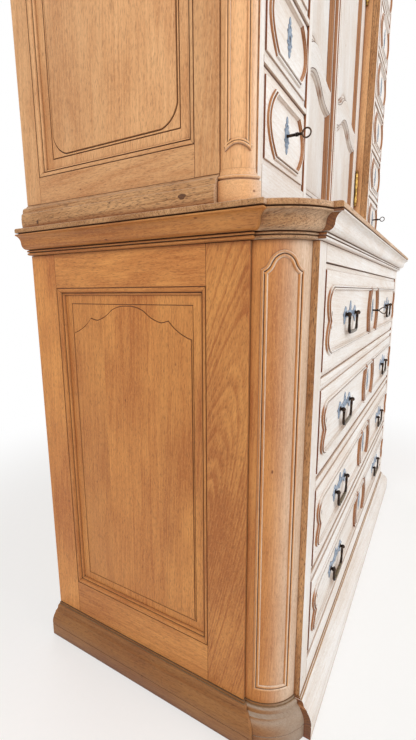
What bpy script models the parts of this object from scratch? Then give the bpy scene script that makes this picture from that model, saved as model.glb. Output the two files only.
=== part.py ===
"""Two-part oak buffet: a chest of long drawers carries a cupboard, doors between stacks of small drawers.

X runs across, Y to the back and Z up. Sizes are in metres. In the model's own space, under the
buffet empty, Y is 0 on the front plane of the long drawers and Z is 0 on the floor.
"""

import math

import bmesh
import bpy
from mathutils import Vector

# Fits
FIT = 0.0003  # between pieces that touch
DRAWER_PLAY = 0.0008  # round a drawer front
DOOR_PLAY = 0.0015  # round a door
MEETING_PLAY = 0.001  # from a door's free edge to the middle

# Whole carcass
BODY_WIDTH = 1.280
BODY_DEPTH = 0.609
BACK_BOARD = 0.015

# Lower part
PLINTH_HEIGHT = 0.075
PLINTH_REACH = 0.028
PLINTH_FLOOR = 0.018
PLINTH_RIM = 0.060
LOWER_HEIGHT = 0.856  # from the plinth to the waist moulding
LOWER_SIDE = 0.028
LOWER_POST_X = 0.060  # corner post, along the front
LOWER_POST_Y = 0.092  # corner post, along the side
LOWER_POST_SIDE_STEP = 0.007  # behind the side
LOWER_POST_FRONT_STEP = 0.012  # behind the front
LOWER_POST_BULGE = 0.015
LOWER_STILE = 0.042
LOWER_BOTTOM_RAIL = 0.047
LOWER_RAIL = 0.011
LOWER_TOP_RAIL = 0.030
LONG_DRAWERS = 4
TOP_DRAWER_EXTRA = 0.018  # the top long drawer is this much taller than the others
LONG_BACK_GAP = 0.072  # behind a long drawer's tray
WAIST_HEIGHT = 0.0427
WAIST_REACH = 0.036
TOP_BOARD = 0.010

# Upper part
UPPER_SETBACK = 0.093  # from the long drawers' front to the small drawers' front
UPPER_HEIGHT = 0.985  # from the base frame to the cornice
UPPER_SIDE = 0.024
UPPER_POST_X = 0.026
UPPER_POST_Y = 0.053
UPPER_POST_STEP = 0.003  # behind the side and behind the front
UPPER_POST_BULGE = 0.009
BASE_HEIGHT = 0.049
BASE_REACH = 0.016
POST_BLOCK_REACH = 0.009
UPPER_STILE = 0.017
PARTITION = 0.018
SMALL_WIDTH = 0.217
SMALL_RAIL = 0.009
SMALL_DRAWERS = 6
SMALL_BOTTOM_RAIL = 0.018
SMALL_TOP_RAIL = 0.064
SMALL_BACK_GAP = 0.029  # behind a small drawer's tray
CORNICE_HEIGHT = 0.105
CORNICE_REACH = 0.070
CORNICE_RIM = 0.060
CORNICE_ROOF = 0.016
SHELF_THICKNESS = 0.018
SHELF_HEIGHT = 0.392  # its top over the cupboard floor
SHELF_SETBACK = 0.030  # behind the doors

# Drawers
FRONT_BOARD = 0.022
TRAY_BOARD = 0.009
TRAY_LIFT = 0.0005  # from a front's lower edge to its tray
TRAY_TOP_GAP = 0.018
TRAY_SIDE_GAP = 0.002
REBATE_WIDTH = 0.012  # the lower border round a drawer's face
REBATE_DEPTH = 0.0035
RIDGE_WIDTH = 0.0105  # the stepped moulding that outlines a drawer's panels
RIDGE_HEIGHT = 0.0065
PANEL_MARGIN = 0.036
SMALL_PANEL_MARGIN = 0.0185
BARREL_END = 0.096  # width of a long drawer's middle panel at its top and bottom
BARREL_BULGE = 0.023
SMALL_BARREL_END = 0.118
SMALL_BARREL_BULGE = 0.033
PANEL_GAP = 0.006  # between a middle panel and its neighbours
END_MARGIN = 0.053  # from a long drawer's end to the corners of its side panels
END_CUSP = 0.033  # from a long drawer's end to the cusp between a side panel's lobes
END_LOBE = 0.024
KEYHOLE_RADIUS = 0.0036
KEYHOLE_SLOT = 0.0032
KEYHOLE_DROP = 0.011
LOCK_MORTISE = 0.044
LOCK_DEPTH = 0.010

# Doors
DOOR_THICKNESS = 0.024
DOOR_SETBACK = 0.046  # behind the small drawers' front
DOOR_STILE = 0.052
DOOR_RAIL = 0.050
DOOR_BEAD = 0.020  # half of the bead between the doors
DOOR_MEETING = 0.006  # from that bead to the panels
DOOR_BEAD_EDGE = 0.001
DOOR_BEAD_REACH = 0.011
DOOR_ARCH_SPRING = 0.290  # from the door's foot to the springing of the lower panel's arch
DOOR_ARCH_RISE = 0.048
DOOR_MIDDLE_RAIL = 0.052
DOOR_RECESS = 0.011
DOOR_MOULDING = 0.012  # round a door's panels
DOOR_FIELD_MARGIN = 0.008  # from that moulding to a panel's field
DOOR_FIELD_SLOPE = 0.010
HINGE_RADIUS = 0.005
HINGE_LENGTH = 0.120
HINGE_PLAY = 0.0004
HINGE_CAP = 0.012  # the turned end of a hinge
HINGE_END = 0.118  # from a door's foot or head to its hinge

# Ironwork
HANDLE_INSET = 0.221  # from a long drawer's end to the middle of its handle
HANDLE_RAISE = 0.006  # of the bail's axis over the middle of its drawer
POST_SPACING = 0.098
POST_BALL = 0.0050
POST_REACH = 0.0068  # from the plate to the bail's axis
PLATE_THICKNESS = 0.0015
PLATE_HALF_WIDTH = 0.070
PLATE_CREST = 0.027
BAIL_RADIUS = 0.0028
BAIL_PIN_RADIUS = 0.0019
BAIL_HOLE_RADIUS = 0.0026
BAIL_DROP = 0.038
BAIL_CORNER = 0.012
KEY_RADIUS = 0.0025
KEY_SHANK = 0.027  # from the drawer's face to the bow
LONG_KEY_SHANK = 0.020
BOW_RADIUS = 0.009
BOW_HOLE = 0.0062
POINTED_BOW = 0.0120  # from the middle of the long drawer's three-sided bow to its corners
POINTED_HOLE = 0.0078
BOW_THICKNESS = 0.0030
KEY_BIT = 0.0085

# Panels of the sides
SIDE_RECESS = 0.011
SIDE_MOULDING = 0.016
LOWER_FRAME_FRONT = 0.0795
LOWER_FRAME_BACK = 0.0705
LOWER_FRAME_FOOT = 0.0835
LOWER_FRAME_HEAD = 0.0685
UPPER_FRAME_FRONT = 0.045
UPPER_FRAME_BACK = 0.044
UPPER_FRAME_FOOT = 0.050
UPPER_FRAME_HEAD = 0.060
FIELD_MARGIN = 0.016  # from a panel's moulding to its field
FIELD_RAISE = 0.0015
SCRIBE_DEPTH = 0.0012  # of the line round a panel's field
FIELD_ARCH = 0.058
FIELD_CORNER = 0.035

# Beads of the corner posts
BEAD_WIDTH = 0.0085
BEAD_HEIGHT = 0.005
BEAD_ARCH = 0.029
LOWER_BEAD_FOOT = 0.030
LOWER_BEAD_HEAD = 0.015
UPPER_BEAD_FOOT = 0.030
UPPER_BEAD_HEAD = 0.035
UPPER_BEAD_ARCH = 0.010

# Levels and places that follow from the sizes
HALF = BODY_WIDTH / 2
Z_LOWER = PLINTH_HEIGHT
Z_WAIST = Z_LOWER + LOWER_HEIGHT
Z_BOARD = Z_WAIST + WAIST_HEIGHT
Z_BASE = Z_BOARD + TOP_BOARD
Z_UPPER = Z_BASE + BASE_HEIGHT
Z_CORNICE = Z_UPPER + UPPER_HEIGHT
Y_UPPER = UPPER_SETBACK
Y_DOOR = UPPER_SETBACK + DOOR_SETBACK
Y_BACK = BODY_DEPTH - BACK_BOARD
STACK_INNER = HALF - UPPER_POST_X - UPPER_STILE - SMALL_WIDTH - PARTITION
STACK_MIDDLE = HALF - UPPER_POST_X - UPPER_STILE - SMALL_WIDTH / 2
LONG_WIDTH = BODY_WIDTH - 2 * (LOWER_POST_X + LOWER_STILE)
LONG_HEIGHTS = LOWER_HEIGHT - LOWER_BOTTOM_RAIL - LOWER_TOP_RAIL - (LONG_DRAWERS - 1) * LOWER_RAIL
LONG_HEIGHT = (LONG_HEIGHTS - TOP_DRAWER_EXTRA) / LONG_DRAWERS
TOP_LONG_HEIGHT = LONG_HEIGHT + TOP_DRAWER_EXTRA
LONG_TRAY = Y_BACK - FRONT_BOARD - LONG_BACK_GAP
SMALL_HEIGHTS = UPPER_HEIGHT - SMALL_BOTTOM_RAIL - SMALL_TOP_RAIL - (SMALL_DRAWERS - 1) * SMALL_RAIL
SMALL_HEIGHT = SMALL_HEIGHTS / SMALL_DRAWERS
SMALL_TRAY = Y_BACK - Y_UPPER - FRONT_BOARD - SMALL_BACK_GAP
HANDLE_X = LONG_WIDTH / 2 - HANDLE_INSET
HINGE_OUT = HINGE_RADIUS + FIT  # from a door's face forward to its axis
HINGE_IN = HINGE_OUT + HINGE_PLAY  # from the partition to a door's axis
DOOR_HEIGHT = UPPER_HEIGHT - 2 * DOOR_PLAY
KEY_REACH = LONG_KEY_SHANK + BOW_RADIUS + POINTED_BOW / 2
BAIL_REACH = FIT + PLATE_THICKNESS + POST_REACH
FRONT_REACH = max(KEY_REACH, WAIST_REACH)
Y_MIDDLE = (BODY_DEPTH - FRONT_REACH) / 2

ARRIS = math.radians(32)  # edges sharper than this stay crisp when shaded

OAK_HONEY = ("honey_oak", (0.55, 0.30, 0.12), 0.55, 0.0)
OAK_PALE = ("pale_oak", (0.80, 0.66, 0.48), 0.55, 0.0)
OAK_INNER = ("inner_oak", (0.50, 0.33, 0.18), 0.70, 0.0)
IRON = ("black_iron", (0.03, 0.025, 0.02), 0.45, 0.9)
STEEL = ("blued_steel", (0.40, 0.48, 0.58), 0.40, 0.9)
BRASS = ("worn_brass", (0.70, 0.52, 0.20), 0.35, 1.0)


def outline(start, *legs):
    """A closed outline of legs (end, bulge, segments). A bulge above 0 swells to the right of its leg."""
    points = [Vector(start)]
    for end, bulge, segments in legs:
        first, last = points[-1], Vector(end)
        along = last - first
        right = Vector((along.y, -along.x)).normalized() if along.length else Vector((0, 0))
        for i in range(1, segments + 1):
            t = i / segments
            points.append(first + along * t + right * (4 * bulge * t * (1 - t)))
    if (points[-1] - points[0]).length < 1e-6:
        points.pop()
    return points


def rectangle(u0, u1, v0, v1):
    return [Vector(p) for p in ((u0, v0), (u1, v0), (u1, v1), (u0, v1))]


def inset(points, distance):
    """An anticlockwise outline moved inwards, with mitred corners."""
    moved = []
    for i, here in enumerate(points):
        before = (here - points[i - 1]).normalized()
        after = (points[(i + 1) % len(points)] - here).normalized()
        normals = Vector((-before.y, before.x)), Vector((-after.y, after.x))
        moved.append(here + (normals[0] + normals[1]) * (distance / (1 + normals[0].dot(normals[1]))))
    return moved


def circle(centre, radius, count, first=0.0):
    angles = [first + 2 * math.pi * i / count for i in range(count)]
    return [Vector((centre[0] + radius * math.cos(a), centre[1] + radius * math.sin(a))) for a in angles]


def moulded(points, profile):
    """Rings of a moulded edge: the outline at each (inset, height) of the profile."""
    return [(inset(points, distance), height) for distance, height in profile]


class Solid:
    """A closed surface put together from rings of points."""

    def __init__(self):
        self.mesh = bmesh.new()

    def ring(self, points):
        verts = [self.mesh.verts.new(p) for p in points]
        for pair in zip(verts, verts[1:] + verts[:1]):
            self.mesh.edges.new(pair)
        return verts

    def skin(self, *rings):
        for low, high in zip(rings, rings[1:]):
            for i in range(len(low)):
                self.mesh.faces.new((low[i - 1], low[i], high[i], high[i - 1]))

    def fill(self, *rings):
        pairs = [pair for ring in rings for pair in zip(ring, ring[1:] + ring[:1])]
        edges = [self.mesh.edges.get(pair) for pair in pairs]
        bmesh.ops.triangle_fill(self.mesh, use_beauty=True, edges=edges)

    def face(self, *verts):
        self.mesh.faces.new(verts)

    def carve(self, place, boundary, islands, holes=()):
        """Fills a ring round its islands, each (rings of (outline, height), its islands, its holes)."""
        openings = list(holes)
        for steps, inner, inner_holes in islands:
            rings = [self.ring([place(u, v, height) for u, v in points]) for points, height in steps]
            self.skin(*rings)
            self.carve(place, rings[-1], inner, inner_holes)
            openings.append(rings[0])
        self.fill(boundary, *openings)

    def finish(self, name):
        bmesh.ops.recalc_face_normals(self.mesh, faces=self.mesh.faces)
        data = bpy.data.meshes.new(name)
        self.mesh.to_mesh(data)
        self.mesh.free()
        return data


def loft(name, rings):
    """A solid through rings of points, from its first ring to its last."""
    solid = Solid()
    made = [solid.ring(points) for points in rings]
    solid.skin(*made)
    solid.fill(made[0])
    solid.fill(made[-1])
    return solid.finish(name)


def box(name, low, high):
    corners = rectangle(low[0], high[0], low[1], high[1])
    return loft(name, [[(u, v, z) for u, v in corners] for z in (low[2], high[2])])


def turned(name, profile, place, count):
    """A turned solid: rings of the (radius, height) pairs of a profile, put in place round its axis."""
    return loft(name, [[place(u, v, height) for u, v in circle((0, 0), r, count)] for r, height in profile])


def combined(name, operation, first, *others):
    """The union or difference of meshes, as one mesh."""
    base = bpy.data.objects.new(name, first)
    helpers = [bpy.data.objects.new(name, other) for other in others]
    for helper in [base, *helpers]:
        bpy.context.scene.collection.objects.link(helper)
    for helper in helpers:
        modifier = base.modifiers.new(operation, "BOOLEAN")
        modifier.operation = operation
        modifier.solver = "MANIFOLD"
        modifier.object = helper
    graph = bpy.context.evaluated_depsgraph_get()
    data = bpy.data.meshes.new_from_object(base.evaluated_get(graph))
    data.name = name
    data.materials.clear()
    for helper in [base, *helpers]:
        bpy.data.objects.remove(helper)
    return data


def material(name, colour, roughness, metallic):
    found = bpy.data.materials.get(name)
    if found:
        return found
    made = bpy.data.materials.new(name)
    made.use_nodes = True
    shader = made.node_tree.nodes["Principled BSDF"]
    shader.inputs["Base Color"].default_value = (*colour, 1.0)
    shader.inputs["Roughness"].default_value = roughness
    shader.inputs["Metallic"].default_value = metallic
    return made


def piece(name, data, finish, at=(0.0, 0.0, 0.0)):
    """An object of the buffet, at its place in the model's own space, shaded smooth but for its arrises."""
    made = bpy.data.objects.new(name, data)
    if made.type == "MESH":
        data.shade_smooth()
        data.set_sharp_from_angle(angle=ARRIS)
    if not data.materials:
        data.materials.append(material(*finish))
    made.parent = bpy.data.objects["buffet"]
    made.location = at
    bpy.context.scene.collection.objects.link(made)
    return made


def corner_arc(size_x, size_y, steps, bulge, reach, stepped, segments=7):
    """A rounded corner seen from above, from its side end to its front end. The body's corner is (0, 0).

    reach moves it outwards. A stepped arc, as a moulding has, starts at the mitre of the length on the side
    and ends square to the corner's own face, where the length on the front returns to the body.
    """
    start, end = Vector((steps[0], size_y)), Vector((size_x, steps[1]))
    chord = end - start
    radius = (chord.length_squared / 4 + bulge * bulge) / (2 * bulge)
    inwards = Vector((-chord.y, chord.x)).normalized()
    centre = (start + end) / 2 + inwards * (radius - bulge)
    outer = radius + reach
    rise = (size_y - (reach if stepped else 0.0) - centre.y) / outer
    first = math.pi - math.asin(max(-1.0, min(1.0, rise)))
    run = (size_x - centre.x) / (radius if stepped else outer)
    last = 2 * math.pi - math.acos(max(-1.0, min(1.0, run)))
    angles = [first + (last - first) * i / segments for i in range(segments + 1)]
    return [centre + outer * Vector((math.cos(a), math.sin(a))) for a in angles]


def body_plan(corner, front, reach, stepped):
    """The body's outline seen from above, with a moulding's reach on the sides and the front."""
    arc = corner_arc(*corner, reach, stepped)
    side, end = Vector((-reach, arc[0].y)), Vector((arc[-1].x, -reach))
    left = [Vector((-reach, BODY_DEPTH - front)), side, *arc, end]
    points = [Vector((x - HALF, y + front)) for x, y in left]
    return points + [Vector((-x, y)) for x, y in reversed(points)]


LOWER_STEPS = (LOWER_POST_SIDE_STEP, LOWER_POST_FRONT_STEP)
LOWER_CORNER = (LOWER_POST_X, LOWER_POST_Y, LOWER_STEPS, LOWER_POST_BULGE)
UPPER_CORNER = (UPPER_POST_X, UPPER_POST_Y, (UPPER_POST_STEP, UPPER_POST_STEP), UPPER_POST_BULGE)


def moulding(name, corner, front, foot, profile, rim=None, roof=None, stepped=True):
    """A moulded slab round the body's plan, through (reach, height) pairs. rim hollows it to its roof."""
    solid = Solid()
    plans = [(body_plan(corner, front, reach, stepped), foot + z) for reach, z in profile]
    rings = [solid.ring([(x, y, z) for x, y in plan]) for plan, z in plans]
    solid.skin(*rings)
    if rim is None:
        solid.fill(rings[0])
        solid.fill(rings[-1])
        return solid.finish(name)
    inner = rectangle(-HALF + rim, HALF - rim, front + rim, BODY_DEPTH - rim)
    levels = foot + profile[0][1], foot + profile[-1][1] - roof
    low, high = [solid.ring([(x, y, z) for x, y in inner]) for z in levels]
    solid.skin(low, high)
    solid.fill(rings[0], low)
    solid.fill(high)
    solid.fill(rings[-1])
    return solid.finish(name)


def plinth():
    reach, height = PLINTH_REACH, PLINTH_HEIGHT
    profile = [(reach, 0.0), (reach, 0.45 * height), (0.93 * reach, 0.57 * height)]
    profile += [(0.72 * reach, 0.72 * height), (0.62 * reach, 0.78 * height), (0.36 * reach, 0.84 * height)]
    profile += [(0.34 * reach, 0.89 * height), (0.14 * reach, 0.94 * height), (0.08 * reach, height)]
    data = moulding("plinth", LOWER_CORNER, 0.0, 0.0, profile, PLINTH_RIM, PLINTH_FLOOR)
    piece("plinth", data, OAK_HONEY)


def waist():
    reach, height = WAIST_REACH, WAIST_HEIGHT
    profile = [(0.14 * reach, FIT), (0.26 * reach, 0.07 * height), (0.32 * reach, 0.14 * height)]
    profile += [(0.27 * reach, 0.22 * height), (0.46 * reach, 0.29 * height), (0.60 * reach, 0.42 * height)]
    profile += [(0.66 * reach, 0.60 * height), (0.75 * reach, 0.77 * height), (0.93 * reach, 0.87 * height)]
    profile += [(reach, 0.89 * height), (reach, 0.955 * height), (0.80 * reach, 0.96 * height)]
    profile += [(0.80 * reach, height)]
    data = moulding("waist_moulding", LOWER_CORNER, 0.0, Z_WAIST, profile)
    piece("waist_moulding", data, OAK_HONEY)
    edge = TOP_BOARD / 2
    profile = [(reach - 0.4 * edge, FIT), (reach, 0.5 * edge)]
    profile += [(reach, 1.4 * edge), (reach - 0.5 * edge, 2 * edge)]
    piece("lower_top_board", moulding("lower_top_board", LOWER_CORNER, 0.0, Z_BOARD, profile), OAK_HONEY)


def cornice():
    reach, height = CORNICE_REACH, CORNICE_HEIGHT
    profile = [(0.06 * reach, FIT), (0.06 * reach, 0.20 * height), (0.18 * reach, 0.24 * height)]
    profile += [(0.20 * reach, 0.32 * height), (0.26 * reach, 0.48 * height), (0.46 * reach, 0.64 * height)]
    profile += [(0.78 * reach, 0.75 * height), (0.82 * reach, 0.79 * height), (0.92 * reach, 0.86 * height)]
    profile += [(reach, 0.92 * height), (reach, height)]
    hollow = CORNICE_RIM, CORNICE_ROOF
    data = moulding("cornice", UPPER_CORNER, Y_UPPER, Z_CORNICE, profile, *hollow, stepped=False)
    piece("cornice", data, OAK_HONEY)


def side_board(name, hand, thickness, front, foot, head, frame, field):
    """A framed side with a recessed panel. hand is -1 on the left, and field makes its field's outline."""

    def place(u, v, height):
        return hand * (HALF + height), u, v

    solid = Solid()
    face = rectangle(front + FIT, BODY_DEPTH, foot + FIT, head - FIT)
    inner = solid.ring([place(u, v, -thickness) for u, v in face])
    outer = solid.ring([place(u, v, 0.0) for u, v in face])
    solid.skin(inner, outer)
    solid.fill(inner)
    opening = rectangle(front + frame[0], BODY_DEPTH - frame[1], foot + frame[2], head - frame[3])
    edge = SIDE_MOULDING
    recess = [(0.0, 0.0), (0.25 * edge, -0.18 * SIDE_RECESS), (0.45 * edge, -0.2 * SIDE_RECESS)]
    recess += [(0.7 * edge, -0.55 * SIDE_RECESS), (0.9 * edge, -SIDE_RECESS)]
    border = inset(opening, edge + FIELD_MARGIN)
    sunk = -SIDE_RECESS - SCRIBE_DEPTH
    scribed = moulded(border, [(0.0, -SIDE_RECESS), (SCRIBE_DEPTH, sunk)])
    shape = field(*[inset(border, 2 * SCRIBE_DEPTH)[i] for i in (0, 2)])
    raised = moulded(shape, [(0.0, sunk), (SCRIBE_DEPTH, FIELD_RAISE - SIDE_RECESS)])
    solid.carve(place, outer, [(moulded(opening, recess), [(scribed, [(raised, [], [])], [])], [])])
    piece(name, solid.finish(name), OAK_HONEY)


def arched_field(low, high):
    """A field whose head rises in two steps to a low arch."""
    middle, half = (low.x + high.x) / 2, (high.x - low.x) / 2
    spring = high.y - FIELD_ARCH
    cusp, shoulder = spring + 0.52 * FIELD_ARCH, spring + 0.85 * FIELD_ARCH
    return outline(
        (low.x, low.y),
        ((high.x, low.y), 0.0, 1),
        ((high.x, spring), 0.0, 1),
        ((middle + 0.66 * half, cusp), -0.08 * FIELD_ARCH, 3),
        ((middle + 0.30 * half, shoulder), -0.07 * FIELD_ARCH, 3),
        ((middle, high.y), 0.05 * FIELD_ARCH, 3),
        ((middle - 0.30 * half, shoulder), 0.05 * FIELD_ARCH, 3),
        ((middle - 0.66 * half, cusp), -0.07 * FIELD_ARCH, 3),
        ((low.x, spring), -0.08 * FIELD_ARCH, 3),
        ((low.x, low.y), 0.0, 1),
    )


def rounded_field(low, high):
    """A field with rounded corners."""
    c, swell = FIELD_CORNER, 0.2 * FIELD_CORNER
    return outline(
        (low.x + c, low.y),
        ((high.x - c, low.y), 0.0, 1),
        ((high.x, low.y + c), swell, 4),
        ((high.x, high.y - c), 0.0, 1),
        ((high.x - c, high.y), swell, 4),
        ((low.x + c, high.y), 0.0, 1),
        ((low.x, high.y - c), swell, 4),
        ((low.x, low.y + c), 0.0, 1),
        ((low.x + c, low.y), swell, 4),
    )


def bead(name, place, points):
    """A raised bead along a closed outline, sunk a little into what carries it."""
    width, height = BEAD_WIDTH, BEAD_HEIGHT
    profile = [(0.0, -height / 2), (0.08 * width, 0.6 * height), (0.38 * width, height)]
    profile += [(0.75 * width, 0.6 * height), (width, -height / 2)]
    solid = Solid()
    rings = [solid.ring([place(u, v, h) for u, v in ring]) for ring, h in moulded(points, profile)]
    solid.skin(*rings, rings[0])
    return solid.finish(name)


def corner_post(name, hand, corner, front, foot, head, block, panel):
    """A rounded post with a raised bead. block is its base's reach, and panel makes the bead's outline."""
    size_x, size_y = corner[0] - FIT, corner[1] - FIT
    sizes = size_x, size_y, corner[2], corner[3]

    def at(x, y, z):
        return hand * (HALF - x), y + front, z

    def ring(reach, z):
        arc = corner_arc(*sizes, reach, False)
        return [at(x, y, z) for x, y in [*arc, Vector((size_x, size_y))]]

    levels = [(0.0, foot + FIT), (0.0, head - FIT)]
    if block:
        rise = BASE_HEIGHT
        shape = [(block, 0.0), (0.9 * block, 0.76 * rise), (0.6 * block, 0.80 * rise)]
        shape += [(0.75 * block, 0.88 * rise), (0.5 * block, 0.96 * rise), (0.15 * block, rise)]
        levels[0:1] = [(reach, foot + FIT + z) for reach, z in shape] + [(0.0, foot + 1.15 * rise)]
    body = loft(name, [ring(*level) for level in levels])

    arc = corner_arc(*sizes, 0.0, False)
    chord = arc[-1] - arc[0]
    middle, across = arc[len(arc) // 2 - 1].lerp(arc[len(arc) // 2], 0.5), chord.normalized()
    radius = (chord.length_squared / 4 + corner[3] ** 2) / (2 * corner[3])
    outwards = Vector((chord.y, -chord.x)).normalized()
    centre = middle - outwards * radius

    def place(u, v, height):
        turn = u / radius
        direction = outwards * math.cos(turn) + across * math.sin(turn)
        x, y = centre + direction * (radius + height)
        return at(x, y, v)

    data = combined(name, "UNION", body, bead(name, place, panel(foot, head, chord.length)))
    piece(name, data, OAK_HONEY)


def lower_post_panel(foot, head, width):
    """A tall outline with an ogee arch at its head."""
    half, low, apex = 0.37 * width, foot + LOWER_BEAD_FOOT, head - LOWER_BEAD_HEAD
    spring, cusp = apex - BEAD_ARCH, apex - 0.66 * BEAD_ARCH
    hollow, swell = -0.07 * BEAD_ARCH, 0.155 * BEAD_ARCH
    return outline(
        (-half, low),
        ((half, low), 0.0, 4),
        ((half, spring), 0.0, 1),
        ((0.68 * half, cusp), hollow, 2),
        ((0.0, apex), swell, 4),
        ((-0.68 * half, cusp), swell, 4),
        ((-half, spring), hollow, 2),
        ((-half, low), 0.0, 1),
    )


def upper_post_panel(foot, head, width):
    """A tall outline with a round arch at both ends."""
    half, rise = 0.36 * width, UPPER_BEAD_ARCH
    low, high = foot + BASE_HEIGHT + UPPER_BEAD_FOOT, head - UPPER_BEAD_HEAD
    return outline(
        (-half, low),
        ((half, low), -rise, 6),
        ((half, high), 0.0, 1),
        ((-half, high), rise, 6),
        ((-half, low), 0.0, 1),
    )


def drawer_frame(name, left, right, foot, head, front, openings, finish):
    """Stiles, rails and dust boards: a block with a row of openings from front to back."""
    solid = Solid()
    ends = []
    for y in (front, Y_BACK - FIT):
        outer = solid.ring([(x, y, z) for x, z in rectangle(left, right, foot + FIT, head - FIT)])
        holes = [solid.ring([(x, y, z) for x, z in rectangle(*opening)]) for opening in openings]
        solid.fill(outer, *holes)
        ends.append((outer, holes))
    solid.skin(ends[0][0], ends[1][0])
    for near, far in zip(ends[0][1], ends[1][1]):
        solid.skin(near, far)
    piece(name, solid.finish(name), finish)


def long_openings():
    """(foot, height) of the long drawers' openings, from the top one down."""
    foot, found = Z_LOWER + LOWER_BOTTOM_RAIL, []
    for i in range(LONG_DRAWERS):
        height = TOP_LONG_HEIGHT if i == LONG_DRAWERS - 1 else LONG_HEIGHT
        found.insert(0, (foot, height))
        foot += height + LOWER_RAIL
    return found


def small_openings():
    """(foot, height) of the small drawers' openings, from the lowest up."""
    pitch = SMALL_HEIGHT + SMALL_RAIL
    return [(Z_UPPER + SMALL_BOTTOM_RAIL + i * pitch, SMALL_HEIGHT) for i in range(SMALL_DRAWERS)]


def seat(foot, height):
    """The middle of a drawer whose lower edge rests on the rail below it."""
    return foot + height / 2 - DRAWER_PLAY + FIT


def carcass_boards():
    half = HALF - LOWER_SIDE - FIT
    data = box("lower_back", (-half, Y_BACK, Z_LOWER + FIT), (half, BODY_DEPTH, Z_WAIST - FIT))
    piece("lower_back", data, OAK_INNER)
    half = HALF - UPPER_SIDE - FIT
    data = box("upper_back", (-half, Y_BACK, Z_UPPER + FIT), (half, BODY_DEPTH, Z_CORNICE - FIT))
    piece("upper_back", data, OAK_INNER)
    half, top = STACK_INNER - FIT, Z_UPPER + SHELF_HEIGHT
    front = Y_DOOR + DOOR_THICKNESS + SHELF_SETBACK
    data = box("cupboard_shelf", (-half, front, top - SHELF_THICKNESS), (half, Y_BACK - FIT, top))
    piece("cupboard_shelf", data, OAK_INNER)


def upper_base():
    """The upper part's base carries the sides, drawer stacks and doors. Its own sides swell into a band."""
    post_x, post_y = HALF - UPPER_POST_X, Y_UPPER + UPPER_POST_Y

    def plan(reach):
        half = [(HALF + reach, BODY_DEPTH), (HALF + reach, post_y + FIT), (post_x, post_y + FIT)]
        half += [(post_x, Y_UPPER), (STACK_INNER, Y_UPPER), (STACK_INNER, Y_DOOR)]
        return [(-x, y) for x, y in half] + list(reversed(half))

    profile = [(BASE_REACH, FIT), (BASE_REACH, 0.62 * BASE_HEIGHT)]
    profile += [(0.85 * BASE_REACH, 0.80 * BASE_HEIGHT), (0.5 * BASE_REACH, 0.93 * BASE_HEIGHT)]
    profile += [(0.0, BASE_HEIGHT)]
    solid = Solid()
    rings = [solid.ring([(x, y, Z_BASE + z) for x, y in plan(reach)]) for reach, z in profile]
    solid.skin(*rings)
    solid.fill(rings[0])
    solid.fill(rings[-1])
    piece("upper_base", solid.finish("upper_base"), OAK_HONEY)


def keyhole():
    """A round hole over a slot, with the key's axis at (0, 0)."""
    half = KEYHOLE_SLOT / 2
    turn = math.asin(half / KEYHOLE_RADIUS)
    first, sweep, count = -math.pi / 2 + turn, 2 * math.pi - 2 * turn, 6
    points = [Vector((-half, -KEYHOLE_DROP)), Vector((half, -KEYHOLE_DROP))]
    for i in range(count + 1):
        angle = first + sweep * i / count
        points.append(KEYHOLE_RADIUS * Vector((math.cos(angle), math.sin(angle))))
    return points


def barrel(height, end, bulge):
    """A panel with straight head and foot and swelling sides."""
    u, v = end / 2, height / 2
    legs = ((u, -v), 0.0, 1), ((u, v), bulge, 5), ((-u, v), 0.0, 1), ((-u, -v), bulge, 5)
    return outline((-u, -v), *legs)


def end_panel(height, outer, inner, hollow):
    """A long drawer's left panel: two lobes at its outer end, hollowed at its inner end."""
    v, cusp = height / 2, outer - END_MARGIN + END_CUSP
    return outline(
        (outer, -v),
        ((inner, -v), 0.0, 1),
        ((inner, v), -hollow, 5),
        ((outer, v), 0.0, 1),
        ((cusp, 0.0), END_LOBE, 5),
        ((outer, -v), END_LOBE, 5),
    )


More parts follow.
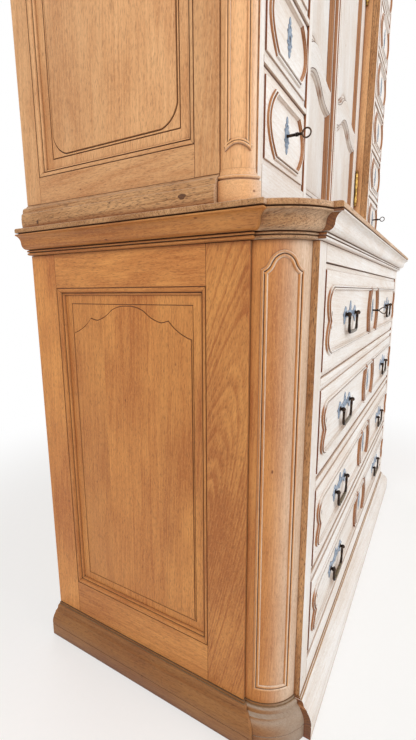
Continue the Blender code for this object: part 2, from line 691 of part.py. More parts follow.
def drawer(name, width, height, tray, panels, field):
    """A drawer as one piece, with its face on y = 0 and its middle at the origin.

    panels are outlined by ridges, and the keyhole goes through the one that field counts to.
    """

    def place(u, v, height_out):
        return u, -height_out, v

    solid = Solid()
    u, v = width / 2 - DRAWER_PLAY, height / 2 - DRAWER_PLAY
    face = rectangle(-u, u, -v, v)
    back = solid.ring([place(*p, -FRONT_BOARD) for p in face])
    rebate = [(0.0, -1.3 * REBATE_DEPTH), (0.9 * REBATE_WIDTH, -REBATE_DEPTH), (REBATE_WIDTH, 0.0)]
    edges = [solid.ring([place(*p, h) for p in ring]) for ring, h in moulded(face, rebate)]
    solid.skin(back, *edges)

    hole = [solid.ring([place(*p, h) for p in keyhole()]) for h in (0.0, LOCK_DEPTH - FRONT_BOARD)]
    mortise = rectangle(-LOCK_MORTISE / 2, LOCK_MORTISE / 2, -LOCK_MORTISE / 2, LOCK_MORTISE / 2)
    depths = LOCK_DEPTH - FRONT_BOARD, -FRONT_BOARD
    lock = [solid.ring([place(*p, h) for p in mortise]) for h in depths]
    solid.skin(*hole)
    solid.skin(*lock)
    solid.fill(lock[0], hole[1])

    ridge = [(0.0, 0.0), (0.08, 0.47), (0.36, 0.55), (0.48, 1.0), (0.72, 0.95), (1.0, 0.0)]
    profile = [(across * RIDGE_WIDTH, up * RIDGE_HEIGHT) for across, up in ridge]
    islands = [(moulded(panel, profile), [], []) for panel in panels]
    islands[field][2].append(hole[0])
    solid.carve(place, edges[-1], islands)

    a, t = width / 2 - TRAY_SIDE_GAP, height / 2 - TRAY_TOP_GAP
    b, end = -v + TRAY_LIFT, FRONT_BOARD + tray
    ai, bi = a - TRAY_BOARD, b + TRAY_BOARD
    section = [(-a, t), (-a, b), (a, b), (a, t), (ai, t), (ai, bi), (-ai, bi), (-ai, t)]
    near = solid.ring([(x, FRONT_BOARD, z) for x, z in section])
    far = solid.ring([(x, end, z) for x, z in section[:4]])
    inner = solid.ring([(x, end - TRAY_BOARD, z) for x, z in section[4:]])
    for i in range(3):
        solid.face(near[i], near[i + 1], far[i + 1], far[i])
        solid.face(near[i + 4], near[i + 5], inner[i + 1], inner[i])
    solid.face(*far)
    solid.face(*inner)
    solid.face(near[0], far[0], far[3], near[3], near[4], inner[0], inner[3], near[7])
    solid.fill(back, near, lock[1])
    return solid.finish(name)


def long_drawer(name, height):
    tall = height - 2 * PANEL_MARGIN
    left = end_panel(tall, END_MARGIN - LONG_WIDTH / 2, -BARREL_END / 2 - PANEL_GAP, BARREL_BULGE)
    middle = barrel(tall, BARREL_END, BARREL_BULGE)
    right = [Vector((-u, v)) for u, v in reversed(left)]
    return drawer(name, LONG_WIDTH, height, LONG_TRAY, [left, middle, right], 1)


def drawers():
    """The long drawers with their handles, then the two stacks of small drawers."""
    meshes = {h: long_drawer("long_drawer", h) for h in (TOP_LONG_HEIGHT, LONG_HEIGHT)}
    plate, bail = handle_plate(), bail_curve()
    for number, (foot, height) in enumerate(long_openings(), 1):
        middle = seat(foot, height)
        piece(f"long_drawer_{number}", meshes[height], OAK_PALE, (0.0, 0.0, middle))
        for side, hand in (("left", -1), ("right", 1)):
            x = hand * HANDLE_X
            piece(f"handle_plate_{number}_{side}", plate, STEEL, (x, -FIT, middle + HANDLE_RAISE))
            piece(f"bail_{number}_{side}", bail, IRON, (x, -BAIL_REACH, middle + HANDLE_RAISE))

    tall = SMALL_HEIGHT - 2 * SMALL_PANEL_MARGIN
    panel = barrel(tall, SMALL_BARREL_END, SMALL_BARREL_BULGE)
    mesh = drawer("small_drawer", SMALL_WIDTH, SMALL_HEIGHT, SMALL_TRAY, [panel], 0)
    for side, hand in (("left", -1), ("right", 1)):
        for number, (foot, height) in enumerate(small_openings(), 1):
            at = (hand * STACK_MIDDLE, Y_UPPER, seat(foot, height))
            piece(f"small_drawer_{side}_{number}", mesh, OAK_PALE, at)


def handle_plate():
    """A plate with pointed lobes and the two posts that carry a bail. The plate's back is on y = 0."""
    crest, half, post = PLATE_CREST, PLATE_HALF_WIDTH, POST_SPACING / 2
    right = [(0.26 * crest, 0.55 * crest), (0.20 * crest, 0.30 * crest), (0.55 * post, 0.12 * crest)]
    right += [(0.80 * post, 0.32 * crest), (post, 0.60 * crest), (1.18 * post, 0.26 * crest), (half, 0.0)]
    right += [(1.25 * post, -0.25 * crest), (1.15 * post, -0.75 * crest), (0.88 * post, -0.30 * crest)]
    right += [(0.55 * post, -0.20 * crest), (0.25 * crest, -0.28 * crest)]
    edge = [(0.0, crest), *[(-x, z) for x, z in right], (0.0, -0.5 * crest), *reversed(right)]
    plate = loft("plate", [[(x, y, z) for x, z in edge] for y in (0.0, -PLATE_THICKNESS)])
    axis = -PLATE_THICKNESS - POST_REACH
    neck, ball = 0.62 * POST_BALL, POST_BALL
    profile = [(1.2 * neck, -PLATE_THICKNESS / 2), (neck, axis + 1.2 * ball), (ball, axis + 0.5 * ball)]
    profile += [(ball, axis - 0.5 * ball), (0.5 * ball, axis - 1.1 * ball)]
    posts = []
    for x in (-post, post):
        posts.append(turned("post", profile, lambda u, v, h, x=x: (x + u, h, v), 8))
    joined = combined("handle_plate", "UNION", plate, *posts)
    ends = [(BAIL_HOLE_RADIUS, -post - 2 * ball), (BAIL_HOLE_RADIUS, post + 2 * ball)]
    hole = turned("hole", ends, lambda u, v, h: (h, axis + u, v), 8)
    return combined("handle_plate", "DIFFERENCE", joined, hole)


def bail_curve():
    """A bail handle that hangs from two pins on the X axis."""
    post, arm = POST_SPACING / 2, POST_SPACING / 2 - POST_BALL - BAIL_RADIUS - 2 * FIT
    low, corner = -BAIL_DROP, BAIL_CORNER
    pin = BAIL_PIN_RADIUS / BAIL_RADIUS
    right = [(post + POST_BALL / 2, 0.0, pin), (arm + 1.2 * BAIL_RADIUS, 0.0, pin)]
    right += [(arm, -0.4 * BAIL_RADIUS, 1.0), (arm, low / 2, 1.0)]
    for i in range(4):
        angle = math.pi / 2 * i / 3
        x, z = arm - corner + corner * math.cos(angle), low + corner - corner * math.sin(angle)
        right.append((x, z, 1.0 + 0.25 * i / 3))
    points = right + [(0.0, low, 1.5)] + [(-x, z, r) for x, z, r in reversed(right)]
    curve = bpy.data.curves.new("bail", "CURVE")
    curve.dimensions = "3D"
    curve.bevel_depth = BAIL_RADIUS
    curve.bevel_resolution = 1
    curve.use_fill_caps = True
    spline = curve.splines.new("POLY")
    spline.points.add(len(points) - 1)
    for point, (x, z, radius) in zip(spline.points, points):
        point.co = (x, 0.0, z, 1.0)
        point.radius = radius
    return curve


def key(name, at, shank, pointed):
    """A key in its lock, with its axis along Y through the origin and the drawer's panel on y = 0."""
    tip = FRONT_BOARD - 0.2 * LOCK_DEPTH
    bow = -shank - BOW_RADIUS
    profile = [(KEY_RADIUS, tip), (KEY_RADIUS, -0.6 * shank), (1.5 * KEY_RADIUS, -0.66 * shank)]
    profile += [(1.5 * KEY_RADIUS, -0.74 * shank), (KEY_RADIUS, -0.8 * shank)]
    profile += [(KEY_RADIUS, bow + 0.95 * BOW_RADIUS)]
    stem = turned("stem", profile, lambda u, v, h: (u, h, v), 8)
    outer, hole, count = (POINTED_BOW, POINTED_HOLE, 3) if pointed else (BOW_RADIUS, BOW_HOLE, 14)
    rings = []
    solid = Solid()
    for radius, x in ((outer, -1), (outer, 1), (hole, 1), (hole, -1)):
        around = circle((0.0, bow), radius, count, math.pi / 2)
        rings.append(solid.ring([(x * BOW_THICKNESS / 2, y, z) for z, y in around]))
    solid.skin(*rings, rings[0])
    low = tip - 0.6 * LOCK_DEPTH
    bit = box("bit", (-KEY_RADIUS / 2, low, -KEY_BIT), (KEY_RADIUS / 2, tip - 0.0005, 0.0))
    piece(name, combined(name, "UNION", stem, solid.finish("bow"), bit), IRON, at)


def keys():
    key("key_long_drawer", (0.0, 0.0, seat(*long_openings()[0])), LONG_KEY_SHANK, True)
    for side, hand in (("left", -1), ("right", 1)):
        at = (hand * STACK_MIDDLE, Y_UPPER, seat(*small_openings()[0]))
        key(f"key_small_drawer_{side}", at, KEY_SHANK, False)


def door(side, hand):
    """A door hung at its outer edge, with its axis on Z through the origin and its foot at z = 0."""
    outer, inner = HINGE_IN - DOOR_PLAY, HINGE_IN - STACK_INNER + MEETING_PLAY

    def place(u, v, height):
        return hand * u, HINGE_OUT - height, v

    solid = Solid()
    face = rectangle(inner, outer, 0.0, DOOR_HEIGHT)
    back = solid.ring([place(*p, -DOOR_THICKNESS) for p in face])
    front = solid.ring([place(*p, 0.0) for p in face])
    solid.skin(back, front)
    solid.fill(back)

    left, right = inner + DOOR_BEAD + DOOR_MEETING, outer - DOOR_STILE
    spring, apex = DOOR_ARCH_SPRING, DOOR_ARCH_SPRING + DOOR_ARCH_RISE
    crown, foot = DOOR_HEIGHT - DOOR_RAIL, spring + DOOR_MIDDLE_RAIL
    lower = (left, right, DOOR_RAIL, spring, apex, 0.0)
    upper = (left, right, foot, crown - DOOR_ARCH_RISE, crown, DOOR_ARCH_RISE)
    edge, margin = DOOR_MOULDING, DOOR_MOULDING + DOOR_FIELD_MARGIN
    recess = [(0.0, 0.0), (0.25 * edge, -0.1 * DOOR_RECESS), (0.5 * edge, -0.5 * DOOR_RECESS)]
    recess += [(edge, -DOOR_RECESS)]
    field = [(margin, -DOOR_RECESS), (margin + DOOR_FIELD_SLOPE, -0.55 * DOOR_RECESS)]
    islands = []
    for shape in (lower, upper):
        raised = [(arched_panel(*shape, inwards), height) for inwards, height in field]
        islands.append((moulded(arched_panel(*shape), recess), [(raised, [], [])], []))
    start, end = DOOR_BEAD_EDGE, DOOR_HEIGHT - DOOR_BEAD_EDGE
    strip = rectangle(inner + DOOR_BEAD_EDGE, inner + DOOR_BEAD, start, end)
    swell = [(0.0, 0.0), (0.0005, 0.6 * DOOR_BEAD_REACH), (0.2 * DOOR_BEAD, DOOR_BEAD_REACH)]
    islands.append((moulded(strip, swell), [], []))
    solid.carve(place, front, islands)
    at = (hand * (STACK_INNER - HINGE_IN), Y_DOOR - HINGE_OUT, Z_UPPER + DOOR_PLAY)
    name = f"door_{side}"
    piece(name, solid.finish(name), OAK_PALE, at)


def arched_panel(left, right, foot, spring, apex, dip, inwards=0.0):
    """A panel with an ogee arch at its head. dip raises its foot in the same ogee; inwards shrinks it."""
    left, right, foot, apex = left + inwards, right - inwards, foot + inwards, apex - inwards
    spring -= inwards / 2
    middle, half, swell = (left + right) / 2, (right - left) / 2, 0.12 * (apex - spring)
    knee, lift = middle + 0.45 * half, 0.4 * (apex - spring)
    legs = []
    if dip:
        legs += [((2 * middle - knee, foot + 0.4 * dip), swell, 3), ((middle, foot + dip), -swell, 3)]
        legs += [((knee, foot + 0.4 * dip), -swell, 3)]
    legs += [((right, foot), swell if dip else 0.0, 3 if dip else 1), ((right, spring), 0.0, 1)]
    legs += [((knee, spring + lift), -swell, 3), ((middle, apex), swell, 3)]
    legs += [((2 * middle - knee, spring + lift), swell, 3), ((left, spring), -swell, 3)]
    legs += [((left, foot), 0.0, 1)]
    return outline((left, foot), *legs)


def hinges():
    """Hinge barrels on the partitions, each on its door's axis."""
    r, cap = HINGE_RADIUS, HINGE_CAP
    foot = [(0.4 * r, 0.0), (0.8 * r, 0.3 * cap), (0.55 * r, 0.7 * cap), (r, cap)]
    profile = foot + [(radius, HINGE_LENGTH - height) for radius, height in reversed(foot)]
    data = turned("hinge", profile, lambda u, v, h: (u, v, h), 10)
    heights = {"lower": HINGE_END, "upper": DOOR_HEIGHT - HINGE_END - HINGE_LENGTH}
    for side, hand in (("left", -1), ("right", 1)):
        for level, height in heights.items():
            at = (hand * (STACK_INNER - HINGE_IN), Y_DOOR - HINGE_OUT, Z_UPPER + DOOR_PLAY + height)
            piece(f"hinge_{side}_{level}", data, BRASS, at)


def frames():
    half = HALF - LOWER_POST_X - FIT
    width = LONG_WIDTH / 2
    openings = [(-width, width, foot, foot + height) for foot, height in long_openings()]
    drawer_frame("lower_drawer_frame", -half, half, Z_LOWER, Z_WAIST, 0.0, openings, OAK_PALE)
    inner = STACK_INNER + PARTITION
    for side, hand in (("left", -1), ("right", 1)):
        ends = sorted((hand * STACK_INNER, hand * (HALF - UPPER_POST_X - FIT)))
        sides = sorted((hand * inner, hand * (inner + SMALL_WIDTH)))
        openings = [(*sides, foot, foot + height) for foot, height in small_openings()]
        drawer_frame(f"stack_frame_{side}", *ends, Z_UPPER, Z_CORNICE, Y_UPPER, openings, OAK_PALE)


def sides_and_posts():
    lower_frame = (LOWER_FRAME_FRONT, LOWER_FRAME_BACK, LOWER_FRAME_FOOT, LOWER_FRAME_HEAD)
    upper_frame = (UPPER_FRAME_FRONT, UPPER_FRAME_BACK, UPPER_FRAME_FOOT, UPPER_FRAME_HEAD)
    upper_front = Y_UPPER + UPPER_POST_Y
    for side, hand in (("left", -1), ("right", 1)):
        place = hand, LOWER_SIDE, LOWER_POST_Y, Z_LOWER, Z_WAIST
        side_board(f"lower_side_{side}", *place, lower_frame, arched_field)
        place = hand, LOWER_CORNER, 0.0, Z_LOWER, Z_WAIST
        corner_post(f"lower_post_{side}", *place, 0.0, lower_post_panel)
        place = hand, UPPER_SIDE, upper_front, Z_UPPER, Z_CORNICE
        side_board(f"upper_side_{side}", *place, upper_frame, rounded_field)
        place = hand, UPPER_CORNER, Y_UPPER, Z_BASE, Z_CORNICE
        corner_post(f"upper_post_{side}", *place, POST_BLOCK_REACH, upper_post_panel)


def main():
    for old in list(bpy.data.objects):
        bpy.data.objects.remove(old)
    buffet = bpy.data.objects.new("buffet", None)
    buffet.location = (0.0, -Y_MIDDLE, 0.0)
    bpy.context.scene.collection.objects.link(buffet)
    plinth()
    sides_and_posts()
    frames()
    waist()
    upper_base()
    carcass_boards()
    cornice()
    drawers()
    keys()
    for side, hand in (("left", -1), ("right", 1)):
        door(side, hand)
    hinges()


main()
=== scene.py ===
"""Looks of a two-part oak buffet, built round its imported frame: waxed oak, black iron, blued steel and brass.

X runs across, Y to the back and Z up, in metres. Each piece rides on the body of the node that it stands for.
"""

import math
import random
from functools import partial

import bmesh
import bpy
from mathutils import Matrix, Vector


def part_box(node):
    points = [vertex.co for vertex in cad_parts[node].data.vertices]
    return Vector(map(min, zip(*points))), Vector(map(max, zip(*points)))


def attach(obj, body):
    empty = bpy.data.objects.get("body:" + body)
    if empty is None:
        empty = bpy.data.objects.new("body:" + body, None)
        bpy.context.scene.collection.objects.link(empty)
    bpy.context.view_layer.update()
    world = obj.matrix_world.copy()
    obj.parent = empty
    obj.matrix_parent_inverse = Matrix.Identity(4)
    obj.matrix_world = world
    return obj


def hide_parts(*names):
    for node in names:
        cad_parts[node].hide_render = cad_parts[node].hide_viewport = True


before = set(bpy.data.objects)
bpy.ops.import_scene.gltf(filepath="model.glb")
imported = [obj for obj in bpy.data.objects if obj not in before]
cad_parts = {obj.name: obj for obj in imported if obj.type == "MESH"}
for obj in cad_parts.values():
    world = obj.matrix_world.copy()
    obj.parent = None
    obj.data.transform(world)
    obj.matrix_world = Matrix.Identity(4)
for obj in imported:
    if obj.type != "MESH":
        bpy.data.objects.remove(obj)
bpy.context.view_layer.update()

SIDES = (("left", -1), ("right", 1))
FIT = 0.0003  # the frame's gap between pieces that touch
JOINT = 0.0007  # a joiner's joint, opened by age
PANEL_JOINT = 0.0001  # between a side panel's boards
NEAR = 0.001  # closer counts as the same place
FAR = 10.0  # outside the buffet
SQUARE_ON = 0.95  # share of its normal from which a face counts as facing one way
SHARP_ANGLE = math.radians(32)  # steeper edges shade sharp
FRAME_ANGLE = math.radians(20)  # the same on the drawer frames' boards
ARRIS_ANGLE = math.radians(40)  # steeper edges get an arris

# Levels and planes that the frame gives
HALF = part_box("lower_side_right")[1].x
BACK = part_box("lower_side_left")[1].y
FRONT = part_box("lower_drawer_frame")[0].y
FRONT_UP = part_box("stack_frame_left")[0].y
Z_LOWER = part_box("lower_side_left")[0].z - FIT
Z_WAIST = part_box("lower_side_left")[1].z + FIT
Z_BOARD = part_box("lower_top_board")[0].z - FIT
Z_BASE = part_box("upper_base")[0].z - FIT
Z_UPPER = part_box("upper_side_left")[0].z - FIT
Z_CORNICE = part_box("upper_side_left")[1].z + FIT
Z_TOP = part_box("cornice")[1].z

# Rounded corners: length on the front, length on the side, steps behind the side and the front, bulge
LOWER_CORNER = (0.060, 0.092, (0.007, 0.012), 0.015)
UPPER_CORNER = (0.026, 0.053, (0.003, 0.003), 0.009)
CORNER_STEPS = 24

# Mouldings round the body: how far they reach out, and how far their lengths go in
PLINTH_REACH = 0.028
PLINTH_RIM = 0.060
PLINTH_FLOOR = 0.018
WAIST_REACH = 0.036
CORNICE_REACH = 0.070
CORNICE_RIM = 0.053
ROOF_BOARD = 0.016
ROOF_DROP = 0.0005  # under the cornice's upper edge
ROOF_PLANKS = 4
BASE_REACH = 0.016
BASE_RIM = 0.030
BASE_EDGE = 0.060  # pale wood under the doors
POST_BLOCK_REACH = 0.009

# Knots in the base bands: place from the front plane, lift over the top board, half length, half height
KNOTS = ((0.205, 0.019, 0.0075, 0.0045), (0.559, 0.011, 0.003, 0.004))
KNOT_POINTS = 16
KNOT_ROOT = 0.002  # behind the band's face
KNOT_RIM = (0.0006, 0.0002)  # width and rise
KNOT_TONE = 0.05
BAND_SWELL = 0.0013  # of the bands at their middle

# Framed sides: widths of the frame at its front, back, foot and head
LOWER_FRAME = (0.0795, 0.0705, 0.0835, 0.0685)
UPPER_FRAME = (0.045, 0.044, 0.050, 0.060)
PANEL_RECESS = 0.011
PANEL_MOULDING = 0.016
FIELD_MARGIN = 0.016
SCRIBE = {"lower": 0.0016, "upper": 0.0024}  # depth of the lines round a panel's field
FIELD_RAISE = 0.0015
FIELD_ARCH = 0.058
FIELD_CORNER = 0.035
LOWER_SPLITS = (0.30, 0.68)  # joints of a panel's boards, as shares of its width
UPPER_SPLITS = (0.52,)

# Beads on the corner posts: width, distance from the foot and the head, rise of the arch
LOWER_BEAD = (0.0115, 0.030, 0.015, 0.029)
UPPER_BEAD = (0.0085, 0.030, 0.035, 0.010)
BEAD_ROOT = -0.0012  # its foot, under the post's surface
LOWER_POST_TONE = 0.48
UPPER_POST_TONE = 0.60

# Tone and tree's heart of a side's members: back stile, front stile, foot rail, head rail, the panel's boards
LOWER_SEEDS = [(0.60, 0.50, 0.95), (0.46, 0.62, 0.36), (0.49, 0.30, 0.75), (0.53, 0.55, 0.28)]
LOWER_SEEDS += [(0.49, 0.78, 0.92), (0.54, 0.25, 0.80), (0.50, 0.70, 0.15)]
UPPER_SEEDS = [(0.52, 0.80, 0.60), (0.49, 0.35, 0.45), (0.48, 0.55, 0.80), (0.50, 0.40, 0.30)]
UPPER_SEEDS += [(0.57, 0.42, 0.62), (0.54, 0.66, 0.30)]
# Tones of the pieces that have no seed of their own
PLAIN_TONE = 0.46
TONE_SPREAD = 0.08

BACK_PLANKS = (("lower_back", 7), ("upper_back", 8))

# Drawers
FRONT_BOARD = 0.022
DRAWER_PLAY = 0.0008
TRAY_BOARD = 0.009
TRAY_LIFT = 0.0005
TRAY_TOP_GAP = 0.018
TRAY_SIDE_GAP = 0.002
REBATE_WIDTH = 0.012
REBATE_DEPTH = 0.0035
RIDGE_WIDTH = 0.0105
RIDGE_HEIGHT = 0.0065
LONG_MARGIN = 0.036
SMALL_MARGIN = 0.0185
BARREL_END = 0.096
BARREL_BULGE = 0.023
SMALL_BARREL_END = 0.118
SMALL_BARREL_BULGE = 0.033
PANEL_GAP = 0.006
END_MARGIN = 0.053
END_CUSP = 0.033
END_LOBE = 0.024
LOCK_PLATE = 0.043
LOCK_PLATE_FACES = (0.0001, 0.0008)  # behind the front board
NOTCH_LENGTH = 0.012  # gouge cuts by the cusps
NOTCH_LIFT = 0.012
NOTCH_GAP = 0.017
NOTCH_DEPTH = 0.0035
KEYHOLE = (0.0036, 0.0032, 0.011)  # radius, width of its slot, drop of the slot
KEYHOLE_DEPTH = 0.012
PLATE_KEYHOLE = (0.0038, 0.0034, 0.0112)
ESCUTCHEON_BREADTH = 1.35  # against the slim pattern that its outline is drawn from

# Doors
DOOR_STILE = 0.052
DOOR_RAIL = 0.050
DOOR_BEAD = 0.020  # half of the bead between the doors
DOOR_MEETING = 0.006  # from that bead to the panels
DOOR_BEAD_EDGE = 0.001
DOOR_BEAD_REACH = 0.011
DOOR_SPRING = 0.290
DOOR_RISE = 0.048
DOOR_MIDDLE_RAIL = 0.052
DOOR_RECESS = 0.011
DOOR_MOULDING = 0.012
DOOR_CUT = 0.0004  # from the panels' mouldings to the joint with a stile
STILE_TONE = 0.46
RAIL_TONE = 0.40

# Ironwork
TURNED_SIDES = 16
HANDLE_PLATE = 0.0015
POST_SPACING = 0.098
POST_BALL = 0.0050
BAIL_RADIUS = 0.0028
BAIL_PIN = 0.0019
BAIL_DROP = 0.038
BAIL_CORNER = 0.012
BAIL_SIDES = 12
KEY_RADIUS = 0.0025
KEY_DEPTH = 0.020  # in the lock
KEY_TIP = 0.0015
KEY_SHANK = 0.027
LONG_KEY_SHANK = 0.020
KEY_BIT = (0.013, 0.0195, 0.0085)  # start and end in the lock, drop
BOW_RADIUS = 0.009
BOW_WIRE = 0.0014
BOW_STEPS = 32
WIRE_SIDES = 10
POINTED_BOW = 0.0120
HINGE_FINIAL = 0.012
HINGE_KNUCKLES = 5
HINGE_SEAM = 0.0005
HINGE_SIDES = 20

# Grain, wax and wear of the finishes
RING_WIDTH = 0.005  # a year's growth
HOLLOW_SHADE_REACH = 0.018  # reach of the painted shade with old wax in hollows
CREVICE_SHADE_WIDTH = 0.0042  # width of the lines of painted shade with old wax in crevices
RUBBED_EDGE = 0.003  # width of a rubbed arris
HAMMER_MARK = 0.004
MOTTLE = 0.015  # of the floor's paint

draw = random.Random(23)


def linear(colour):
    """A linear colour from an sRGB hex value."""
    parts = [int(colour[i : i + 2], 16) / 255 for i in (1, 3, 5)]
    return (*[c / 12.92 if c <= 0.04045 else ((c + 0.055) / 1.055) ** 2.4 for c in parts], 1.0)


def feed(node, inputs):
    """Gives a node's inputs their values, or links them to other nodes' outputs."""
    for key, value in inputs.items():
        if isinstance(value, bpy.types.NodeSocket):
            node.id_data.links.new(value, node.inputs[key])
        else:
            node.inputs[key].default_value = value


def add_node(tree, kind, inputs=None, out=0, **settings):
    """Adds a node with its settings, values and links. Gives one of its outputs, or all where out is None.

    Inputs go by name or place. A Mix has its share at 0 and its colours at 6 and 7. A MapRange has its value
    at 0, the range that it comes from at 1 and 2, and the one that it goes to at 3 and 4.
    """
    node = tree.nodes.new("ShaderNode" + kind)
    for name, value in settings.items():
        setattr(node, name, value)
    feed(node, inputs or {})
    return node.outputs if out is None else node.outputs[out]


def new_material(name, **values):
    """A material with values on the shader's own sockets, what adds nodes to it, and its shader."""
    made = bpy.data.materials.new(name)
    made.use_nodes = True
    shader = made.node_tree.nodes["Principled BSDF"]
    feed(shader, {socket.replace("_", " "): value for socket, value in values.items()})
    return made, partial(add_node, made.node_tree), shader


def oak(name, grain, tones, front_tones, turn, figure, pitted, roughness, slope=0.05):
    """European oak, sawn and planed, then waxed for generations.

    The eye gets warm boards with fine dark pores and soft streaks along the grain, faint growth rings, pale
    curly ray flecks, a few specks and knots, painted shade with near-black wax in each crevice, and rubbed,
    lighter arrises. Faces that look to the front or up are painted cream, as light from the front, and what
    faces sideways is painted the darker brown of the sides, as shade: turn holds the shares at which that
    painted light starts and ends. An object's colour moves the heart of its tree and its tone. Each set of
    tones is light, dark and pores, figure is how much the rings show, pitted is how far the pores have opened
    and filled with wax, and slope is that of the grain.
    """
    made, add, shader = new_material(name, IOR=1.48, Coat_Weight=0.03, Coat_Roughness=0.4)
    seed = add("ObjectInfo", out="Color")
    xyz = add("SeparateXYZ", {0: add("TexCoord", out="Object")}, out=None)
    first = "XYZ".index(grain)
    turned = add("CombineXYZ", {i: xyz[(first + i) % 3] for i in range(3)})
    moved = add("VectorMath", {0: seed, 1: (31.0, 17.0, 23.0)}, operation="MULTIPLY")
    spot = add("VectorMath", {0: turned, 1: moved}, operation="ADD")
    lean = add("VectorMath", {0: (0.0, 0.5 * slope, slope), "Scale": xyz[first]}, operation="SCALE")
    spot = add("VectorMath", {0: spot, 1: lean}, operation="ADD")

    # Noises by their length along and across the grain. Pores are 0.3 by 5 mm, drawn larger so that they show
    lengths = {
        "sway": (0.40, 0.06), "pores": (0.010, 0.0014), "streak": (0.16, 0.0036), "cloud": (0.26, 0.09),
        "flecks": (0.014, 0.0055), "stain": (0.05, 0.020),
    }
    noise = {}
    for key, (long, wide) in lengths.items():
        scaled = add("VectorMath", {0: spot, 1: (1 / long, 1 / wide, 1 / wide)}, operation="MULTIPLY")
        settings = {"Vector": scaled, "Scale": 1.0, "Detail": 2.5, "Roughness": 0.6}
        noise[key] = add("TexNoise", settings, out=None)

    # Growth rings round a heart that lies up to 150 mm off and leans along the board
    sway = add("VectorMath", {0: noise["sway"]["Color"], 1: (0.0, 0.012, 0.012)}, operation="MULTIPLY")
    heart = add("VectorMath", {0: seed, 1: (0.5, 0.5, 0.5)}, operation="SUBTRACT")
    heart = add("VectorMath", {0: heart, 1: (0.0, 0.30, 0.30)}, operation="MULTIPLY")
    flat = add("VectorMath", {0: turned, 1: (0.0, 1.0, 1.0)}, operation="MULTIPLY")
    for part in (sway, heart, lean):
        flat = add("VectorMath", {0: flat, 1: part}, operation="ADD")
    distance = add("VectorMath", {0: flat}, out="Value", operation="LENGTH")
    years = add("Math", {0: distance, 1: 1 / RING_WIDTH}, operation="MULTIPLY")
    year = add("Math", {0: years}, operation="FRACT")
    rise = add("MapRange", {0: year, 1: 0.0, 2: 0.22}, interpolation_type="SMOOTHSTEP")
    fall = add("MapRange", {0: year, 1: 0.22, 2: 0.95, 3: 1.0, 4: 0.0}, interpolation_type="SMOOTHSTEP")
    early = add("Math", {0: rise, 1: fall}, operation="MULTIPLY")
    count = add("Math", {0: years}, operation="FLOOR")
    good = add("TexWhiteNoise", {"W": count}, noise_dimensions="1D")
    early = add("Math", {0: early, 1: good}, operation="MULTIPLY")

    # Painted light: what faces the front or up is painted paler, and what faces sideways browner, as in shade
    facing = add("SeparateXYZ", {0: add("TexCoord", out="Normal")}, out=None)[0]
    facing = add("Math", {0: facing}, operation="ABSOLUTE")
    painted_front_light = add("MapRange", {0: facing, 1: turn[0], 2: turn[1]}, interpolation_type="SMOOTHSTEP")
    # Colours of the painted shade with old wax, in crevices and in hollows, paler on the front
    wax = ("#451806", "#74492B"), ("#854217", "#B08A68")
    light, dark, pore, crevice_shade_and_wax, hollow_shade_and_wax = (
        add("Mix", {0: painted_front_light, 6: linear(side), 7: linear(front)}, out=2, data_type="RGBA")
        for side, front in (*zip(tones, front_tones), *wax)
    )
    mixed = add("Math", {0: early, 1: figure}, operation="MULTIPLY")
    for key, share in (("streak", 0.50), ("cloud", 0.90)):
        mixed = add("Math", {0: noise[key]["Fac"], 1: share, 2: mixed}, operation="MULTIPLY_ADD")
    mixed = add("MapRange", {0: mixed, 1: 0.50, 2: 0.94})
    colour = add("Mix", {0: mixed, 6: light, 7: dark}, out=2, data_type="RGBA")

    # Ray flecks follow a level line of their noise, a millimetre or two wide
    off = add("Math", {0: noise["flecks"]["Fac"], 1: 0.5}, operation="SUBTRACT")
    off = add("Math", {0: off}, operation="ABSOLUTE")
    flecks = add("MapRange", {0: off, 1: 0.030, 2: 0.004, 4: 0.40})
    pores = add("MapRange", {0: noise["pores"]["Fac"], 1: 0.50, 2: 0.74, 4: pitted})
    stains = add("MapRange", {0: noise["stain"]["Fac"], 1: 0.64, 2: 0.82, 4: 0.5 * pitted})
    # Specks, 3 by 6 mm, in some cells of 40 mm; knots, 8 by 16 mm, in some of 160 mm
    dots = []
    for cell, size, rare in ((0.040, 0.0015, 0.45), (0.160, 0.0040, 0.55)):
        drawn = add("VectorMath", {0: spot, 1: (0.5 / cell, 1 / cell, 1 / cell)}, operation="MULTIPLY")
        cells = add("TexVoronoi", {"Vector": drawn, "Scale": 1.0}, out=None)
        dot = add("MapRange", {0: cells["Distance"], 1: 1.5 * size / cell, 2: 0.6 * size / cell})
        some = add("SeparateColor", {0: cells["Color"]})
        some = add("Math", {0: some, 1: rare}, operation="GREATER_THAN")
        dots.append(add("Math", {0: dot, 1: some}, operation="MULTIPLY"))
    dots = add("Math", {0: dots[0], 1: dots[1]}, operation="MAXIMUM")
    # Painted shade with old wax and dust: a red-brown darkening in hollows, near black in narrow lines
    hollow = add("AmbientOcclusion", {"Distance": HOLLOW_SHADE_REACH}, "AO", samples=6)
    hollow = add("MapRange", {0: hollow, 1: 0.92, 2: 0.40, 4: 0.70}, interpolation_type="SMOOTHSTEP")
    line = add("AmbientOcclusion", {"Distance": CREVICE_SHADE_WIDTH}, "AO", samples=6)
    line = add("MapRange", {0: line, 1: 0.76, 2: 0.36, 4: 0.95}, interpolation_type="SMOOTHSTEP")
    thin = add("AmbientOcclusion", {"Distance": RUBBED_EDGE}, "AO", samples=4, inside=True, only_local=True)
    rubbed = add("MapRange", {0: thin, 1: 0.62, 2: 0.30, 4: 0.42})
    layers = [(flecks, light), (stains, pore), (pores, pore), (hollow, hollow_shade_and_wax)]
    for share, over in (*layers, (rubbed, light), (dots, pore), (line, crevice_shade_and_wax)):
        colour = add("Mix", {0: share, 6: colour, 7: over}, out=2, data_type="RGBA")
    tone = add("MapRange", {0: add("SeparateColor", {0: seed}), 3: 0.50, 4: 1.50}, clamp=False)
    colour = add("VectorMath", {0: colour, "Scale": tone}, operation="SCALE")

